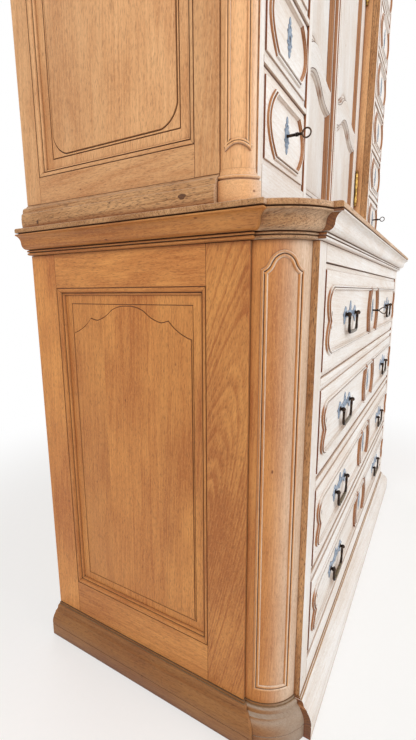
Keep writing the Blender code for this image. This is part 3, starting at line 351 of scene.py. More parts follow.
    rough = add("MapRange", {0: noise["streak"]["Fac"], 3: roughness - 0.08, 4: roughness + 0.10})
    height = add("Math", {0: pores, 1: -1.0, 2: noise["streak"]["Fac"]}, operation="MULTIPLY_ADD")
    bump = add("Bump", {"Strength": 0.30, "Distance": 0.0006, "Height": height})
    feed(shader, {"Base Color": colour, "Roughness": rough, "Normal": bump})
    return made


def metal(name, colour, worn, roughness, metallic, patch):
    """A forged or cast metal: hammered faces, patches of wear or rust of the given size in metres."""
    made, add, shader = new_material(name, Metallic=metallic)
    place = add("TexCoord", out="Object")
    patches = add("TexNoise", {"Vector": place, "Scale": 1 / patch, "Detail": 4.0, "Roughness": 0.6})
    patches = add("MapRange", {0: patches, 1: 0.42, 2: 0.66}, interpolation_type="SMOOTHSTEP")
    thin = add("AmbientOcclusion", {"Distance": RUBBED_EDGE}, "AO", samples=4, inside=True, only_local=True)
    edge = add("MapRange", {0: thin, 1: 0.55, 2: 0.25})
    shown = add("Math", {0: patches, 1: edge}, operation="MAXIMUM")
    shade = add("Mix", {0: shown, 6: linear(colour), 7: linear(worn)}, out=2, data_type="RGBA")
    rough = add("MapRange", {0: patches, 3: roughness - 0.06, 4: roughness + 0.14})
    hammer = add("TexNoise", {"Vector": place, "Scale": 1 / HAMMER_MARK, "Detail": 1.0})
    bump = add("Bump", {"Strength": 0.25, "Distance": 0.0004, "Height": hammer})
    feed(shader, {"Base Color": shade, "Roughness": rough, "Normal": bump})
    return made


HONEY = ("#DD9A53", "#AE672E", "#703A14")
LIGHT = ("#EAB883", "#C68B58", "#7E4A24")  # on the upper part
WEATHERED = ("#D8A876", "#A06D3F", "#3A2110")
WEATHERED_FRONT_LIT = ("#DDBE9E", "#B48C69", "#4E321E")  # the same, painted paler where it faces the front, as painted light
SOFT = ("#E2CBB4", "#CBA98C", "#8A6346")  # painted paler where a rounded corner turns to the front, as painted light
# Front pieces: sideways faces painted darker as shade, front faces painted cream as light
EDGE = ("#B57F4E", "#8A5731", "#553016")
CREAM = ("#EFEEED", "#DACDC1", "#AC8862")
SAWN = ("#C4A47C", "#A5825B", "#6E4E31")
# Dark knots, and painted shade in the gaps and hollows of the front mouldings and drawer fronts
KNOT_AND_SHADE_BROWN = ("#96602F", "#5E351B", "#200F07")
BOARDS = (0.95, 0.30)  # flat boards: one tone from edge to edge
# Side tones, front tones, turn, figure, pitted, roughness and slope; where they differ, the front tones are
# painted light
WOODS = {
    "waxed_oak": (HONEY, HONEY, BOARDS, 0.12, 0.62, 0.50),
    "figured_oak": (HONEY, HONEY, BOARDS, 0.30, 0.62, 0.50, 0.24),
    "light_oak": (LIGHT, LIGHT, BOARDS, 0.12, 0.62, 0.50),
    "weathered_oak": (WEATHERED, WEATHERED_FRONT_LIT, BOARDS, 0.25, 1.0, 0.62),
    "corner_oak": (HONEY, SOFT, (0.99, 0.55), 0.12, 0.45, 0.50),
    "light_corner_oak": (LIGHT, SOFT, (0.85, 0.30), 0.12, 0.45, 0.50),
    "front_lit_oak": (EDGE, CREAM, (0.66, 0.30), 0.12, 0.30, 0.54),
    "sawn_oak": (SAWN, SAWN, BOARDS, 0.35, 0.65, 0.72),
    "knot_and_shade_oak": (KNOT_AND_SHADE_BROWN, KNOT_AND_SHADE_BROWN, BOARDS, 0.30, 0.85, 0.52),
}
OAK, FIGURED, UPPER, OLD, CORNER, LIGHT_CORNER, PALE, RAW, DARK = (
    {grain: oak(f"{name}_{grain}", grain, *looks) for grain in "XYZ"} for name, looks in WOODS.items()
)
# Forged iron, blackened in oil: near black, with brown where hands rub it
IRON = metal("blackened_iron", "#241B17", "#4E3A2B", 0.42, 0.80, 0.012)
# The same iron where hands hold it: rubbed bright with a brassy cast, and painted lighter as a highlight
GRIP = metal("rubbed_and_highlit_iron", "#7A6A50", "#2E231B", 0.28, 0.85, 0.006)
# Sheet steel, blued by heat: pale grey-blue with dull spots
STEEL = metal("blued_steel", "#BDD0EA", "#7C8CA0", 0.40, 0.35, 0.009)
# Cast brass, worn: dull yellow with brown tarnish in its hollows
BRASS = metal("worn_brass", "#BF9C55", "#7E6232", 0.36, 0.9, 0.015)
SLOT = {IRON: "black_iron", GRIP: "black_iron", STEEL: "blued_steel", BRASS: "worn_brass"}
BROWN_WOODS = OAK, FIGURED, UPPER, OLD, CORNER, LIGHT_CORNER, DARK
for slot, woods in (("honey_oak", BROWN_WOODS), ("pale_oak", (PALE,)), ("inner_oak", (RAW,))):
    SLOT |= {made: slot for wood in woods for made in wood.values()}


def outline(start, *legs, closed=True):
    """Points along legs, (u, v) or (u, v, bulge, steps). A bulge above 0 swells to the right of its leg."""
    points = [Vector(start)]
    for leg in legs:
        bulge, steps = leg[2:] or (0.0, 1)
        first = points[-1].copy()
        along = Vector(leg[:2]) - first
        right = Vector((along.y, -along.x)).normalized() if along.length else Vector((0, 0))
        for i in range(1, steps + 1):
            t = i / steps
            points.append(first + along * t + right * (4 * bulge * t * (1 - t)))
    if closed and (points[-1] - points[0]).length < 1e-6:
        points.pop()
    return points


def mirrored(half):
    """A closed outline from one half, which starts and ends on the middle line."""
    return half + [Vector((-u, v)) for u, v in reversed(half[1:-1])]


def rectangle(u0, u1, v0, v1):
    return [Vector(p) for p in ((u0, v0), (u1, v0), (u1, v1), (u0, v1))]


def inset(points, distance):
    """An anticlockwise outline moved inwards, with mitred corners."""
    moved = []
    for i, here in enumerate(points):
        before = (here - points[i - 1]).normalized()
        after = (points[(i + 1) % len(points)] - here).normalized()
        first, second = Vector((-before.y, before.x)), Vector((-after.y, after.x))
        moved.append(here + (first + second) * (distance / max(0.35, 1 + first.dot(second))))
    return moved


def moulded(points, profile):
    """Steps of a moulded edge: the outline at each (inset, height) of the profile."""
    return [(inset(points, distance), height) for distance, height in profile]


def circle(centre, radius, count, first=0.0):
    angles = [first + 2 * math.pi * i / count for i in range(count)]
    return [Vector((centre[0] + radius * math.cos(a), centre[1] + radius * math.sin(a))) for a in angles]


def turned_rings(profile, place, count):
    """Rings of a turned piece from its (radius, height) profile."""
    return [[place(u, v, height) for u, v in circle((0, 0), radius, count)] for radius, height in profile]


class Shape:
    """A closed surface put together from rings of points."""

    def __init__(self):
        self.mesh = bmesh.new()

    def ring(self, points):
        verts = [self.mesh.verts.new(p) for p in points]
        for pair in zip(verts, verts[1:] + verts[:1]):
            self.mesh.edges.new(pair)
        return verts

    def skin(self, *rings):
        for low, high in zip(rings, rings[1:]):
            for i in range(len(low)):
                self.mesh.faces.new((low[i - 1], low[i], high[i], high[i - 1]))

    def rise(self, place, steps):
        """Skinned rings, one for each (outline, height) of the steps."""
        rings = [self.ring([place(u, v, height) for u, v in points]) for points, height in steps]
        self.skin(*rings)
        return rings

    def fill(self, *rings):
        pairs = [pair for ring in rings for pair in zip(ring, ring[1:] + ring[:1])]
        edges = [self.mesh.edges.get(pair) for pair in pairs]
        bmesh.ops.triangle_fill(self.mesh, use_beauty=True, edges=edges)

    def carve(self, place, boundary, islands, holes=()):
        """Fills a ring round its islands, each (steps, its islands, its holes)."""
        openings = list(holes)
        for steps, inner, inner_holes in islands:
            rings = self.rise(place, steps)
            self.carve(place, rings[-1], inner, inner_holes)
            openings.append(rings[0])
        self.fill(boundary, *openings)

    def done(self, name):
        bmesh.ops.recalc_face_normals(self.mesh, faces=self.mesh.faces)
        data = bpy.data.meshes.new(name)
        self.mesh.to_mesh(data)
        self.mesh.free()
        return data


def solid(name, rings):
    """A loft through rings of points, closed at both ends."""
    shape = Shape()
    made = [shape.ring(points) for points in rings]
    shape.skin(*made)
    shape.fill(made[0])
    shape.fill(made[-1])
    return shape.done(name)


def board(name, first, last):
    """A board between two opposite corners."""
    low, high = ([pick(pair) for pair in zip(first, last)] for pick in (min, max))
    corners = rectangle(low[0], high[0], low[1], high[1])
    return solid(name, [[(u, v, z) for u, v in corners] for z in (low[2], high[2])])


def pierced_plate(name, place, edge, levels, holes):
    """A thin plate with holes through it. levels are the (inset, height) pairs of its edge."""
    shape = Shape()
    rings = shape.rise(place, moulded(edge, levels))
    walls = [shape.rise(place, [(hole, levels[0][1]), (hole, levels[-1][1])]) for hole in holes]
    for end in (0, -1):
        shape.fill(rings[end], *[wall[end] for wall in walls])
    return shape.done(name)


def shaded(tone):
    """A seed of this tone, with the tree's heart in a place of its own."""
    return tone, draw.random(), draw.random()


def piece(name, data, finishes, body="carcass", arris=0.0, seed=None, stands_for=()):
    """A piece in the scene. Its origin goes to its middle, so that each has its own grain.

    finishes is its material, or a list of them. seed is the colour that places its tree's heart and its tone.
    """
    corners = [[pick(v.co[i] for v in data.vertices) for i in range(3)] for pick in (min, max)]
    middle = (Vector(corners[0]) + Vector(corners[1])) / 2
    data.transform(Matrix.Translation(-middle))
    data.shade_smooth()
    data.set_sharp_from_angle(angle=SHARP_ANGLE)
    finishes = finishes if isinstance(finishes, list) else [finishes]
    for finish in finishes:
        data.materials.append(finish)
    made = bpy.data.objects.new(name, data)
    made.location = middle
    made.color = (*(seed or shaded(PLAIN_TONE + TONE_SPREAD * draw.random())), 1.0)
    bpy.context.scene.collection.objects.link(made)
    if arris:
        rounded = made.modifiers.new("arris", "BEVEL")
        rounded.width = arris
        rounded.segments = 2
        rounded.limit_method = "ANGLE"
        rounded.angle_limit = ARRIS_ANGLE
        rounded.harden_normals = True
    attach(made, body)
    if stands_for:
        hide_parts(*stands_for)
    return made


def plank(name, first, last, finish, arris=0.001, **options):
    """A board between two opposite corners, as a piece."""
    return piece(name, board(name, first, last), finish, arris=arris, **options)


def refinish(data, index, chosen):
    """Gives the faces that chosen picks another of the mesh's finishes."""
    for face in data.polygons:
        if chosen(face):
            face.material_index = index
    return data


def refinish_ends(data, places):
    """Gives the faces that look left or right at these places along X the mesh's second finish."""

    def at_end(face):
        return abs(face.normal.x) > 0.7 and min(abs(face.center.x - x) for x in places) < NEAR

    return refinish(data, 1, at_end)


def sawn_rear(data, index):
    """Leaves what faces up or to the back as it came from the saw."""
    return refinish(data, index, lambda face: max(face.normal.y, face.normal.z) > SQUARE_ON)


def sliced(data, axis, cuts, joint=JOINT):
    """Boards cut from a mesh at these places along an axis, with a joint between neighbours."""
    boards = []
    bounds = [-FAR, *cuts, FAR]
    for start, end in zip(bounds, bounds[1:]):
        made = bmesh.new()
        made.from_mesh(data)
        for at, keep in ((start + joint / 2, 1), (end - joint / 2, -1)):
            spot, normal = [0.0] * 3, [0.0] * 3
            spot[axis], normal[axis] = at, keep
            everything = made.verts[:] + made.edges[:] + made.faces[:]
            cut = bmesh.ops.bisect_plane(
                made, geom=everything, plane_co=spot, plane_no=normal, clear_inner=True
            )
            edges = [e for e in cut["geom_cut"] if isinstance(e, bmesh.types.BMEdge)]
            if edges:
                bmesh.ops.triangle_fill(made, use_beauty=True, edges=edges)
        bmesh.ops.recalc_face_normals(made, faces=made.faces)
        boards.append(bpy.data.meshes.new(data.name))
        made.to_mesh(boards[-1])
        made.free()
    return boards


def planks(name, low, high, axis, count, grain, arris, node=None):
    """Sawn planks of one width, side by side along an axis. The first stands for the node."""
    step = (high[axis] - low[axis]) / count
    cuts = [low[axis] + step * k for k in range(1, count)]
    for i, part in enumerate(sliced(board(name, low, high), axis, cuts)):
        stands_for = [node] if node and i == 0 else ()
        piece(f"{name}_{i + 1}", part, RAW[grain], arris=arris, stands_for=stands_for)


def corner_arc(corner, reach, stepped):
    """A rounded corner seen from above, from its side end to its front end. The body's corner is (0, 0)."""
    size_x, size_y, steps, bulge = corner
    start, end = Vector((steps[0], size_y)), Vector((size_x, steps[1]))
    chord = end - start
    radius = (chord.length_squared / 4 + bulge * bulge) / (2 * bulge)
    inwards = Vector((-chord.y, chord.x)).normalized()
    centre = (start + end) / 2 + inwards * (radius - bulge)
    outer = radius + reach
    rise = (size_y - (reach if stepped else 0.0) - centre.y) / outer
    first = math.pi - math.asin(max(-1.0, min(1.0, rise)))
    run = (size_x - centre.x) / (radius if stepped else outer)
    last = 2 * math.pi - math.acos(max(-1.0, min(1.0, run)))
    angles = [first + (last - first) * i / CORNER_STEPS for i in range(CORNER_STEPS + 1)]
    return [centre + outer * Vector((math.cos(a), math.sin(a))) for a in angles]


def length_of_moulding(name, ends):
    """A length of moulding between two ends: the points of its face from its foot up, and those behind."""
    shape = Shape()
    rings = [shape.ring([*face, *reversed(behind)]) for face, behind in ends]
    shape.skin(*rings)
    for ring in rings:
        for i in range(len(ring) // 2 - 1):
            shape.mesh.faces.new((ring[i], ring[i + 1], ring[-2 - i], ring[-1 - i]))
    return shape.done(name)


def moulding_lengths(name, node, profile, corner, front, rim, blocks, shade, stepped=True):
    """A moulding in a joiner's lengths: one on each side, a block on each corner and one on the front.

    profile holds (reach, height) pairs from its foot up, rim is how far the lengths go in, blocks is the
    wood of the corner blocks, and shade is the tone of the sides and the blocks.
    """
    arcs = [corner_arc(corner, reach, stepped) for reach, _ in profile]
    for side, hand in SIDES:
        ends = []
        for places in ([BACK] * len(profile), [front + arc[0].y + JOINT / 2 for arc in arcs]):
            face = [(hand * (HALF + reach), y, z) for (reach, z), y in zip(profile, places)]
            ends.append((face, [(hand * (HALF - rim), y, z) for _, y, z in face]))
        run = sawn_rear(length_of_moulding(name, ends), 1)
        piece(f"{name}_side_{side}", run, [OAK["Y"], RAW["Y"]], seed=shaded(shade))
        rings = []
        for (_, z), arc in zip(profile, arcs):
            plan = [*arc, Vector((arc[-1].x, arc[0].y))]
            rings.append([(hand * (HALF - x), front + y, z) for x, y in plan])
        block = sawn_rear(solid(name, rings), 1)
        piece(f"{name}_corner_{side}", block, [blocks["Y"], RAW["Y"]], seed=shaded(shade))
    ends = []
    for hand in (-1, 1):
        places = [hand * (HALF - arc[-1].x - JOINT / 2) for arc in arcs]
        face = [(x, front - reach, z) for (reach, z), x in zip(profile, places)]
        ends.append((face, [(x, front + rim, z) for x, _, z in face]))
    # The front length's end faces take the dark wood: painted shade in the gaps by the corner blocks
    run = refinish_ends(length_of_moulding(name, ends), [x for face, _ in ends for x, _, _ in face])
    piece(f"{name}_front", sawn_rear(run, 2), [PALE["X"], DARK["X"], RAW["X"]], stands_for=[node])


def profile_of(foot, reach, height, start, *legs):
    """A moulding's profile from shares of its reach and height. Bulges are shares of its height."""

    def scaled(u, v, bulge=0.0, steps=1):
        return u * reach, v * height, bulge * height, steps

    points = outline(scaled(*start)[:2], *[scaled(*leg) for leg in legs], closed=False)
    return [(r, foot + z) for r, z in points]


def plinth():
    """The plinth's moulding, its back rail and its floor."""
    profile = profile_of(
        0.0, PLINTH_REACH, Z_LOWER, (0.96, 0.0), (1.0, 0.03), (1.0, 0.40), (0.94, 0.415), (1.0, 0.43),
        (1.0, 0.46), (0.64, 0.76, 0.035, 8), (0.62, 0.79), (0.38, 0.83), (0.35, 0.86), (0.10, 0.95, 0.03, 5),
        (0.08, 0.995),
    )
    # Its sides and corner blocks take the darkest tone: painted shade low down by the floor
    moulding_lengths("plinth", "plinth", profile, LOWER_CORNER, FRONT, PLINTH_RIM, CORNER, shade=0.0)
    inner, rear, top = HALF - PLINTH_RIM, BACK - PLINTH_RIM, Z_LOWER - FIT
    plank("plinth_back_rail", (-inner, rear, 0.0), (inner, BACK, top), RAW["X"])
    corner = (-inner, FRONT + PLINTH_RIM, Z_LOWER - PLINTH_FLOOR)
    plank("plinth_floor", corner, (inner, rear - FIT, top), RAW["X"])


def body_plan(corner, front, reach):
    """The body's outline seen from above, moved out by a reach."""
    arc = corner_arc(corner, reach, True)
    left = [Vector((-reach, BACK - front)), Vector((-reach, arc[0].y)), *arc, Vector((arc[-1].x, -reach))]
    points = [Vector((x - HALF, y + front)) for x, y in left]
    return points + [Vector((-x, y)) for x, y in reversed(points)]


def waist():
    """The waist moulding, with two beads under its ogee, its core, and the board on it."""
    profile = profile_of(
        Z_WAIST + FIT, WAIST_REACH, Z_BOARD - Z_WAIST - FIT, (0.12, 0.0), (0.24, 0.02),
        (0.24, 0.115, 0.03, 5), (0.15, 0.125), (0.15, 0.145), (0.27, 0.155), (0.27, 0.235, 0.02, 4),
        (0.16, 0.245), (0.16, 0.265), (0.40, 0.275), (0.65, 0.55, 0.06, 7), (0.92, 0.87, -0.06, 8),
        (0.99, 0.88), (1.0, 0.93, 0.015, 3), (0.98, 0.95), (0.80, 0.96), (0.80, 0.995),
    )
    moulding_lengths("waist", "waist_moulding", profile, LOWER_CORNER, FRONT, PLINTH_RIM, OLD, shade=0.36)
    rim = PLINTH_RIM + JOINT
    corner = (rim - HALF, FRONT + rim, Z_WAIST + FIT)
    plank("waist_core", corner, (HALF - rim, BACK, Z_BOARD - FIT), RAW["X"])

    thick = Z_BASE - Z_BOARD
    edge = [(-0.0022, FIT), (-0.0006, 0.0008), (0.0, 0.0024), (0.0, 0.6 * thick), (-0.0008, 0.82 * thick)]
    edge += [(-0.0030, 0.95 * thick), (-0.0060, thick)]
    plans = [(body_plan(LOWER_CORNER, FRONT, WAIST_REACH + reach), Z_BOARD + lift) for reach, lift in edge]
    rings = [[(x, y, z) for x, y in plan] for plan, z in plans]
    piece("top_board", solid("top_board", rings), OLD["X"], stands_for=["lower_top_board"])


def cornice():
    """The cornice's moulding, its roof of planks and its back rail."""
    profile = profile_of(
        Z_CORNICE + FIT, CORNICE_REACH, Z_TOP - Z_CORNICE - FIT, (0.06, 0.0), (0.06, 0.20),
        (0.17, 0.24, -0.008, 4), (0.19, 0.32, 0.02, 5), (0.20, 0.34), (0.78, 0.75, -0.10, 10), (0.82, 0.76),
        (0.83, 0.79), (0.98, 0.93, 0.035, 7), (1.0, 0.935), (1.0, 0.985), (0.97, 1.0),
    )
    sizes = UPPER_CORNER, FRONT_UP, CORNICE_RIM
    moulding_lengths("cornice", "cornice", profile, *sizes, CORNER, shade=0.55, stepped=False)
    inner, rear, top = HALF - CORNICE_RIM, BACK - CORNICE_RIM, Z_TOP - ROOF_DROP
    corner = (-inner, FRONT_UP + CORNICE_RIM, Z_TOP - ROOF_BOARD)
    planks("cornice_roof", corner, (inner, rear, top), 1, ROOF_PLANKS, "X", arris=0.001)
    plank("cornice_back_rail", (-inner, rear, Z_CORNICE + FIT), (inner, BACK, top), RAW["X"])


def arched_field(low, high):
    """A field whose head rises in two steps to a low arch."""
    middle, half = (low.x + high.x) / 2, (high.x - low.x) / 2
    spring = high.y - FIELD_ARCH
    half_head = (0.66, 0.56, -0.08, 8), (0.54, 0.49, -0.01, 4), (0.28, 0.84, -0.05, 6), (0.0, 1.0, 0.05, 6)
    legs = []
    for across, up, bulge, steps in half_head:
        legs.append((middle + across * half, spring + up * FIELD_ARCH, bulge * FIELD_ARCH, steps))
    starts = [(high.x, spring), *[leg[:2] for leg in legs]]
    for (u, v), leg in zip(starts[-2::-1], legs[::-1]):
        legs.append((2 * middle - u, v, *leg[2:]))
    return outline((low.x, low.y), (high.x, low.y), (high.x, spring), *legs, (low.x, low.y))


def rounded_field(low, high):
    """A field with rounded corners."""
    c, swell = FIELD_CORNER, 0.2 * FIELD_CORNER
    return outline(
        (low.x + c, low.y), (high.x - c, low.y), (high.x, low.y + c, swell, 10), (high.x, high.y - c),
        (high.x - c, high.y, swell, 10), (low.x + c, high.y), (low.x, high.y - c, swell, 10),
        (low.x, low.y + c), (low.x + c, low.y, swell, 10),
    )


def framed_side(level, side, hand, sizes, field, splits, woods, seeds):
    """A framed side: two stiles, two rails, a mitred moulding and a panel of boards with a fielded outline.

    woods are the wood of its front stile and that of the rest.
    """
    node = f"{level}_side_{side}"
    low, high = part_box(node)
    thick, wood = high.x - low.x, woods[1]
    opening = rectangle(
        low.y - FIT + sizes[0], high.y - sizes[1], low.z - FIT + sizes[2], high.z + FIT - sizes[3]
    )
    (u0, v0), (u1, v1) = opening[0], opening[2]

    def place(u, v, height):
        return hand * (HALF + height), u, v

    gap = JOINT / 2
    members = {
        "back_stile": (u1, high.y, low.z, high.z, wood["Z"]),
        "front_stile": (low.y, u0, low.z, high.z, woods[0]["Z"]),
        "foot_rail": (u0 + gap, u1 - gap, low.z, v0, wood["Y"]),
        "head_rail": (u0 + gap, u1 - gap, v1, high.z, wood["Y"]),
    }
    for (name, (*bounds, finish)), seed in zip(members.items(), seeds):
        rings = [[place(u, v, h) for u, v in rectangle(*bounds)] for h in (-thick, 0.0)]
        stands_for = [node] if name == "front_stile" else ()
        piece(f"{node}_{name}", solid(name, rings), finish, arris=0.0009, seed=seed, stands_for=stands_for)

    e, r = PANEL_MOULDING, PANEL_RECESS
    profile = outline(
        (0.0, -0.0004), (0.02 * e, -0.0022), (0.10 * e, -0.0022), (0.13 * e, -0.0006),
        (0.60 * e, -0.45 * r, -0.0018, 7), (0.62 * e, -0.70 * r), (0.72 * e, -0.70 * r),
        (0.74 * e, -0.52 * r), (0.92 * e, -0.80 * r, -0.0007, 4), (0.94 * e, -1.3 * r), (0.0, -1.3 * r),
        closed=False,
    )
    for k, run in enumerate(("foot", "back", "head", "front")):
        start, end = opening[k], opening[(k + 1) % 4]
        along = (end - start).normalized() * JOINT / 2
        rings = []
        for corner, move in ((k, along), ((k + 1) % 4, -along)):
            rings.append([place(*(inset(opening, d)[corner] + move), h) for d, h in profile])
        grain = "Y" if run in ("foot", "head") else "Z"
        piece(f"{node}_moulding_{run}", solid(run, rings), wood[grain])

    shape = Shape()
    outer = inset(opening, 0.80 * e)
    back, face = shape.rise(place, [(outer, -thick), (outer, -r)])
    shape.fill(back)
    border = inset(opening, e + FIELD_MARGIN)
    s = SCRIBE[level]
    sunk, deep = -r - 0.0003, -r - s
    scribed = moulded(border, [(0.0, -r), (0.25 * s, deep), (0.8 * s, deep), (1.05 * s, sunk)])
    room = inset(border, 2 * s)
    edge = [(0.0, sunk), (0.25 * s, deep), (0.8 * s, deep), (1.1 * s, FIELD_RAISE - r - 0.0004)]
    edge += [(1.1 * s + 0.0012, FIELD_RAISE - r)]
    raised = moulded(field(room[0], room[2]), edge)
    shape.carve(place, face, [(scribed, [(raised, [], [])], [])])
    panel = shape.done("panel")
    for i, part in enumerate(sliced(panel, 1, [u0 + (u1 - u0) * s for s in splits], PANEL_JOINT)):
        piece(f"{node}_panel_{i + 1}", part, wood["Z"], seed=seeds[4 + i])


def ogee_bead(foot, head, width):
    """A tall outline with an ogee arch at its head, on a lower post of this breadth."""
    _, rise, drop, arch = LOWER_BEAD
    half, low, apex = 0.37 * width, foot + rise, head - drop
    spring, cusp = apex - arch, apex - 0.66 * arch
    swell, hollow = 0.155 * arch, -0.07 * arch
    return outline(
        (-half, low), (half, low, 0.0, 6), (half, spring), (0.68 * half, cusp, hollow, 6),
        (0.0, apex, swell, 10), (-0.68 * half, cusp, swell, 10), (-half, spring, hollow, 6), (-half, low),
    )


def round_bead(foot, head, width):
    """A tall outline with a round arch at both ends, on an upper post of this breadth."""
    _, rise, drop, arch = UPPER_BEAD
    half, low, high = 0.36 * width, foot + Z_UPPER - Z_BASE + rise, head - drop
    return outline((-half, low), (half, low, -arch, 14), (half, high), (-half, high, arch, 14), (-half, low))


def corner_post(name, hand, corner, front, levels, block, bead_width, bead_line, wood, tone):
    """A rounded corner post with a double bead along an arched outline.

    levels are its foot and head. It has a moulded base where block, its reach, is above 0.
    """
    size_x, size_y = corner[0] - FIT, corner[1] - FIT
    sizes = size_x, size_y, corner[2], corner[3]
    foot, head = levels

    def at(x, y, z):
        return hand * (HALF - x), y + front, z

    def post_part(part, steps, finish, stands_for=()):
        rings = []
        for reach, z in steps:
            plan = [*corner_arc(sizes, reach, False), Vector((size_x, size_y))]
            rings.append([at(x, y, z) for x, y in plan])
        piece(part, solid(part, rings), finish, seed=shaded(tone), stands_for=stands_for)

    start = foot + FIT
    if block:
        base = profile_of(
            start, block, Z_UPPER - Z_BASE, (1.0, 0.0), (0.92, 0.74), (0.60, 0.765), (0.60, 0.785),
            (0.55, 0.90, 0.055, 8), (0.34, 0.91), (0.32, 0.94), (0.05, 1.12, -0.02, 6),
        )
        post_part(f"{name}_base", base, wood["X"])
        start = base[-1][1] + FIT
    post_part(name, [(0.0, start), (0.0, head - FIT)], wood["Z"], [name])

    arc = corner_arc(sizes, 0.0, False)
    chord = arc[-1] - arc[0]
    radius = (chord.length_squared / 4 + corner[3] ** 2) / (2 * corner[3])
    outwards = Vector((chord.y, -chord.x)).normalized()
    centre = arc[CORNER_STEPS // 2] - outwards * radius
    across = chord.normalized()

    def place(u, v, height):
        turn = u / radius
        x, y = centre + (outwards * math.cos(turn) + across * math.sin(turn)) * (radius + height)
        return at(x, y, v)

    w = bead_width
    section = outline(
        (0.0, BEAD_ROOT), (0.0003, 0.0014), (0.44 * w, 0.0030, -0.0020, 8), (0.47 * w, 0.0002),
        (0.55 * w, 0.0002), (0.58 * w, 0.0024), (w, 0.0, -0.0013, 6), (w, BEAD_ROOT), closed=False,
    )
    shape = Shape()
    line = bead_line(foot, head, chord.length)
    rings = shape.rise(place, moulded(line, section))
    shape.skin(rings[-1], rings[0])
    piece(f"{name}_bead", shape.done("bead"), wood["Z"], seed=shaded(tone))


def sides_and_posts():
    lower_side = LOWER_FRAME, arched_field, LOWER_SPLITS, (FIGURED, OAK), LOWER_SEEDS
    upper_side = UPPER_FRAME, rounded_field, UPPER_SPLITS, (UPPER, UPPER), UPPER_SEEDS
    lower_post = LOWER_CORNER, FRONT, (Z_LOWER, Z_WAIST), 0.0
    upper_post = UPPER_CORNER, FRONT_UP, (Z_BASE, Z_CORNICE), POST_BLOCK_REACH
    lower_bead = LOWER_BEAD[0], ogee_bead, CORNER, LOWER_POST_TONE
    upper_bead = UPPER_BEAD[0], round_bead, LIGHT_CORNER, UPPER_POST_TONE
    for side, hand in SIDES:
        framed_side("lower", side, hand, *lower_side)
        framed_side("upper", side, hand, *upper_side)
        corner_post(f"lower_post_{side}", hand, *lower_post, *lower_bead)
        corner_post(f"upper_post_{side}", hand, *upper_post, *upper_bead)


def upper_base():
    """The upper part's base: a weathered band on each side, a rail behind each stack's foot, a floor."""
    post_y = FRONT_UP + UPPER_CORNER[1] + FIT
    foot, head = Z_BASE + FIT, Z_UPPER - FIT
    profile = profile_of(
        foot, BASE_REACH, Z_UPPER - Z_BASE - FIT, (0.92, 0.0), (1.0, 0.04), (1.0, 0.60, 0.03, 3),
        (0.84, 0.64), (0.80, 0.68), (0.35, 0.90, 0.05, 6), (0.04, 0.99, -0.01, 3),
    )
    section = [*profile, (-BASE_RIM, profile[-1][1]), (-BASE_RIM, profile[0][1])]
    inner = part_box("stack_frame_right")[0].x
    door_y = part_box("door_left")[0].y + DOOR_BEAD_REACH
    rail_y, edge_y = FRONT_UP + FRONT_BOARD + JOINT, door_y + BASE_EDGE
    for side, hand in SIDES:
        ends = [[(hand * (HALF + reach), y, z) for reach, z in section] for y in (BACK, post_y)]
        piece(f"upper_base_band_{side}", solid("band", ends), OLD["Y"])
        start, end = (hand * inner, rail_y, foot), (hand * (HALF - UPPER_CORNER[0]), post_y - JOINT, head)
        plank(f"upper_base_rail_{side}", start, end, PALE["X"], arris=0.0009)
        start, end = (hand * inner, post_y, foot), (hand * (HALF - BASE_RIM - JOINT), BACK, head)
        plank(f"upper_base_floor_{side}", start, end, RAW["X"], arris=0.0009)
    across = inner - JOINT
    start, end = (-across, door_y, foot), (across, edge_y, head)
    plank("upper_base_edge", start, end, PALE["X"], arris=0.0009, stands_for=["upper_base"])
    plank("upper_base_floor", (-across, edge_y + JOINT, foot), (across, BACK, head), RAW["X"], arris=0.0009)


def knots():
    """Two dark knots in each base band."""
    face = BASE_REACH + BAND_SWELL
    for side, hand in SIDES:
        for n, (from_front, lift, long, tall) in enumerate(KNOTS):
            edge = []
            for i in range(KNOT_POINTS):
                a = 2 * math.pi * i / KNOT_POINTS
                edge.append(Vector((long * math.cos(a) * (1 + 0.2 * math.sin(3 * a)), tall * math.sin(a))))
            y, z = FRONT + from_front, Z_BASE + lift
            levels = moulded(edge, [(0.0, face - KNOT_ROOT), (0.0, face), (KNOT_RIM[0], face + KNOT_RIM[1])])
            rings = [[(hand * (HALF + out), y + u, z + v) for u, v in ring] for ring, out in levels]
            piece(f"knot_{side}_{n + 1}", solid("knot", rings), DARK["X"], seed=shaded(KNOT_TONE))


def drawer_frame(node, openings, stiles, foot):
    """Stiles and rails in front, from a foot up, and behind them the dust boards of the frame's own solid."""
    low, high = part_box(node)
    rear_y = low.y + FRONT_BOARD
    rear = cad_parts[node].data.copy()
    for vertex in rear.vertices:
        if vertex.co.y < low.y + NEAR:
            vertex.co.y = rear_y + JOINT
    rear.materials.clear()
    partition = min(abs(low.x), abs(high.x))
    for polygon in rear.polygons:
        polygon.material_index = int(abs(abs(polygon.center.x) - partition) < NEAR)
    inner = piece(f"{node}_boards", rear, [RAW["Y"], UPPER["Z"]], stands_for=[node])
    inner.data.set_sharp_from_angle(angle=FRAME_ANGLE)
    for side, start, end in (("left", low.x, stiles[0]), ("right", stiles[1], high.x)):
        stile = board("stile", (start, low.y, foot), (end, rear_y, high.z))
        woods = [PALE["Z"], OLD["Z"]]
        piece(f"{node}_stile_{side}", refinish_ends(stile, (low.x, high.x)), woods, arris=0.0008)
    levels = [foot, *[z for pair in openings for z in pair], high.z]
    for i, (start, end) in enumerate(zip(levels[::2], levels[1::2])):
        first, last = (stiles[0] + JOINT, low.y, start), (stiles[1] - JOINT, rear_y, end)
        plank(f"{node}_rail_{i + 1}", first, last, PALE["X"], arris=0.0008)


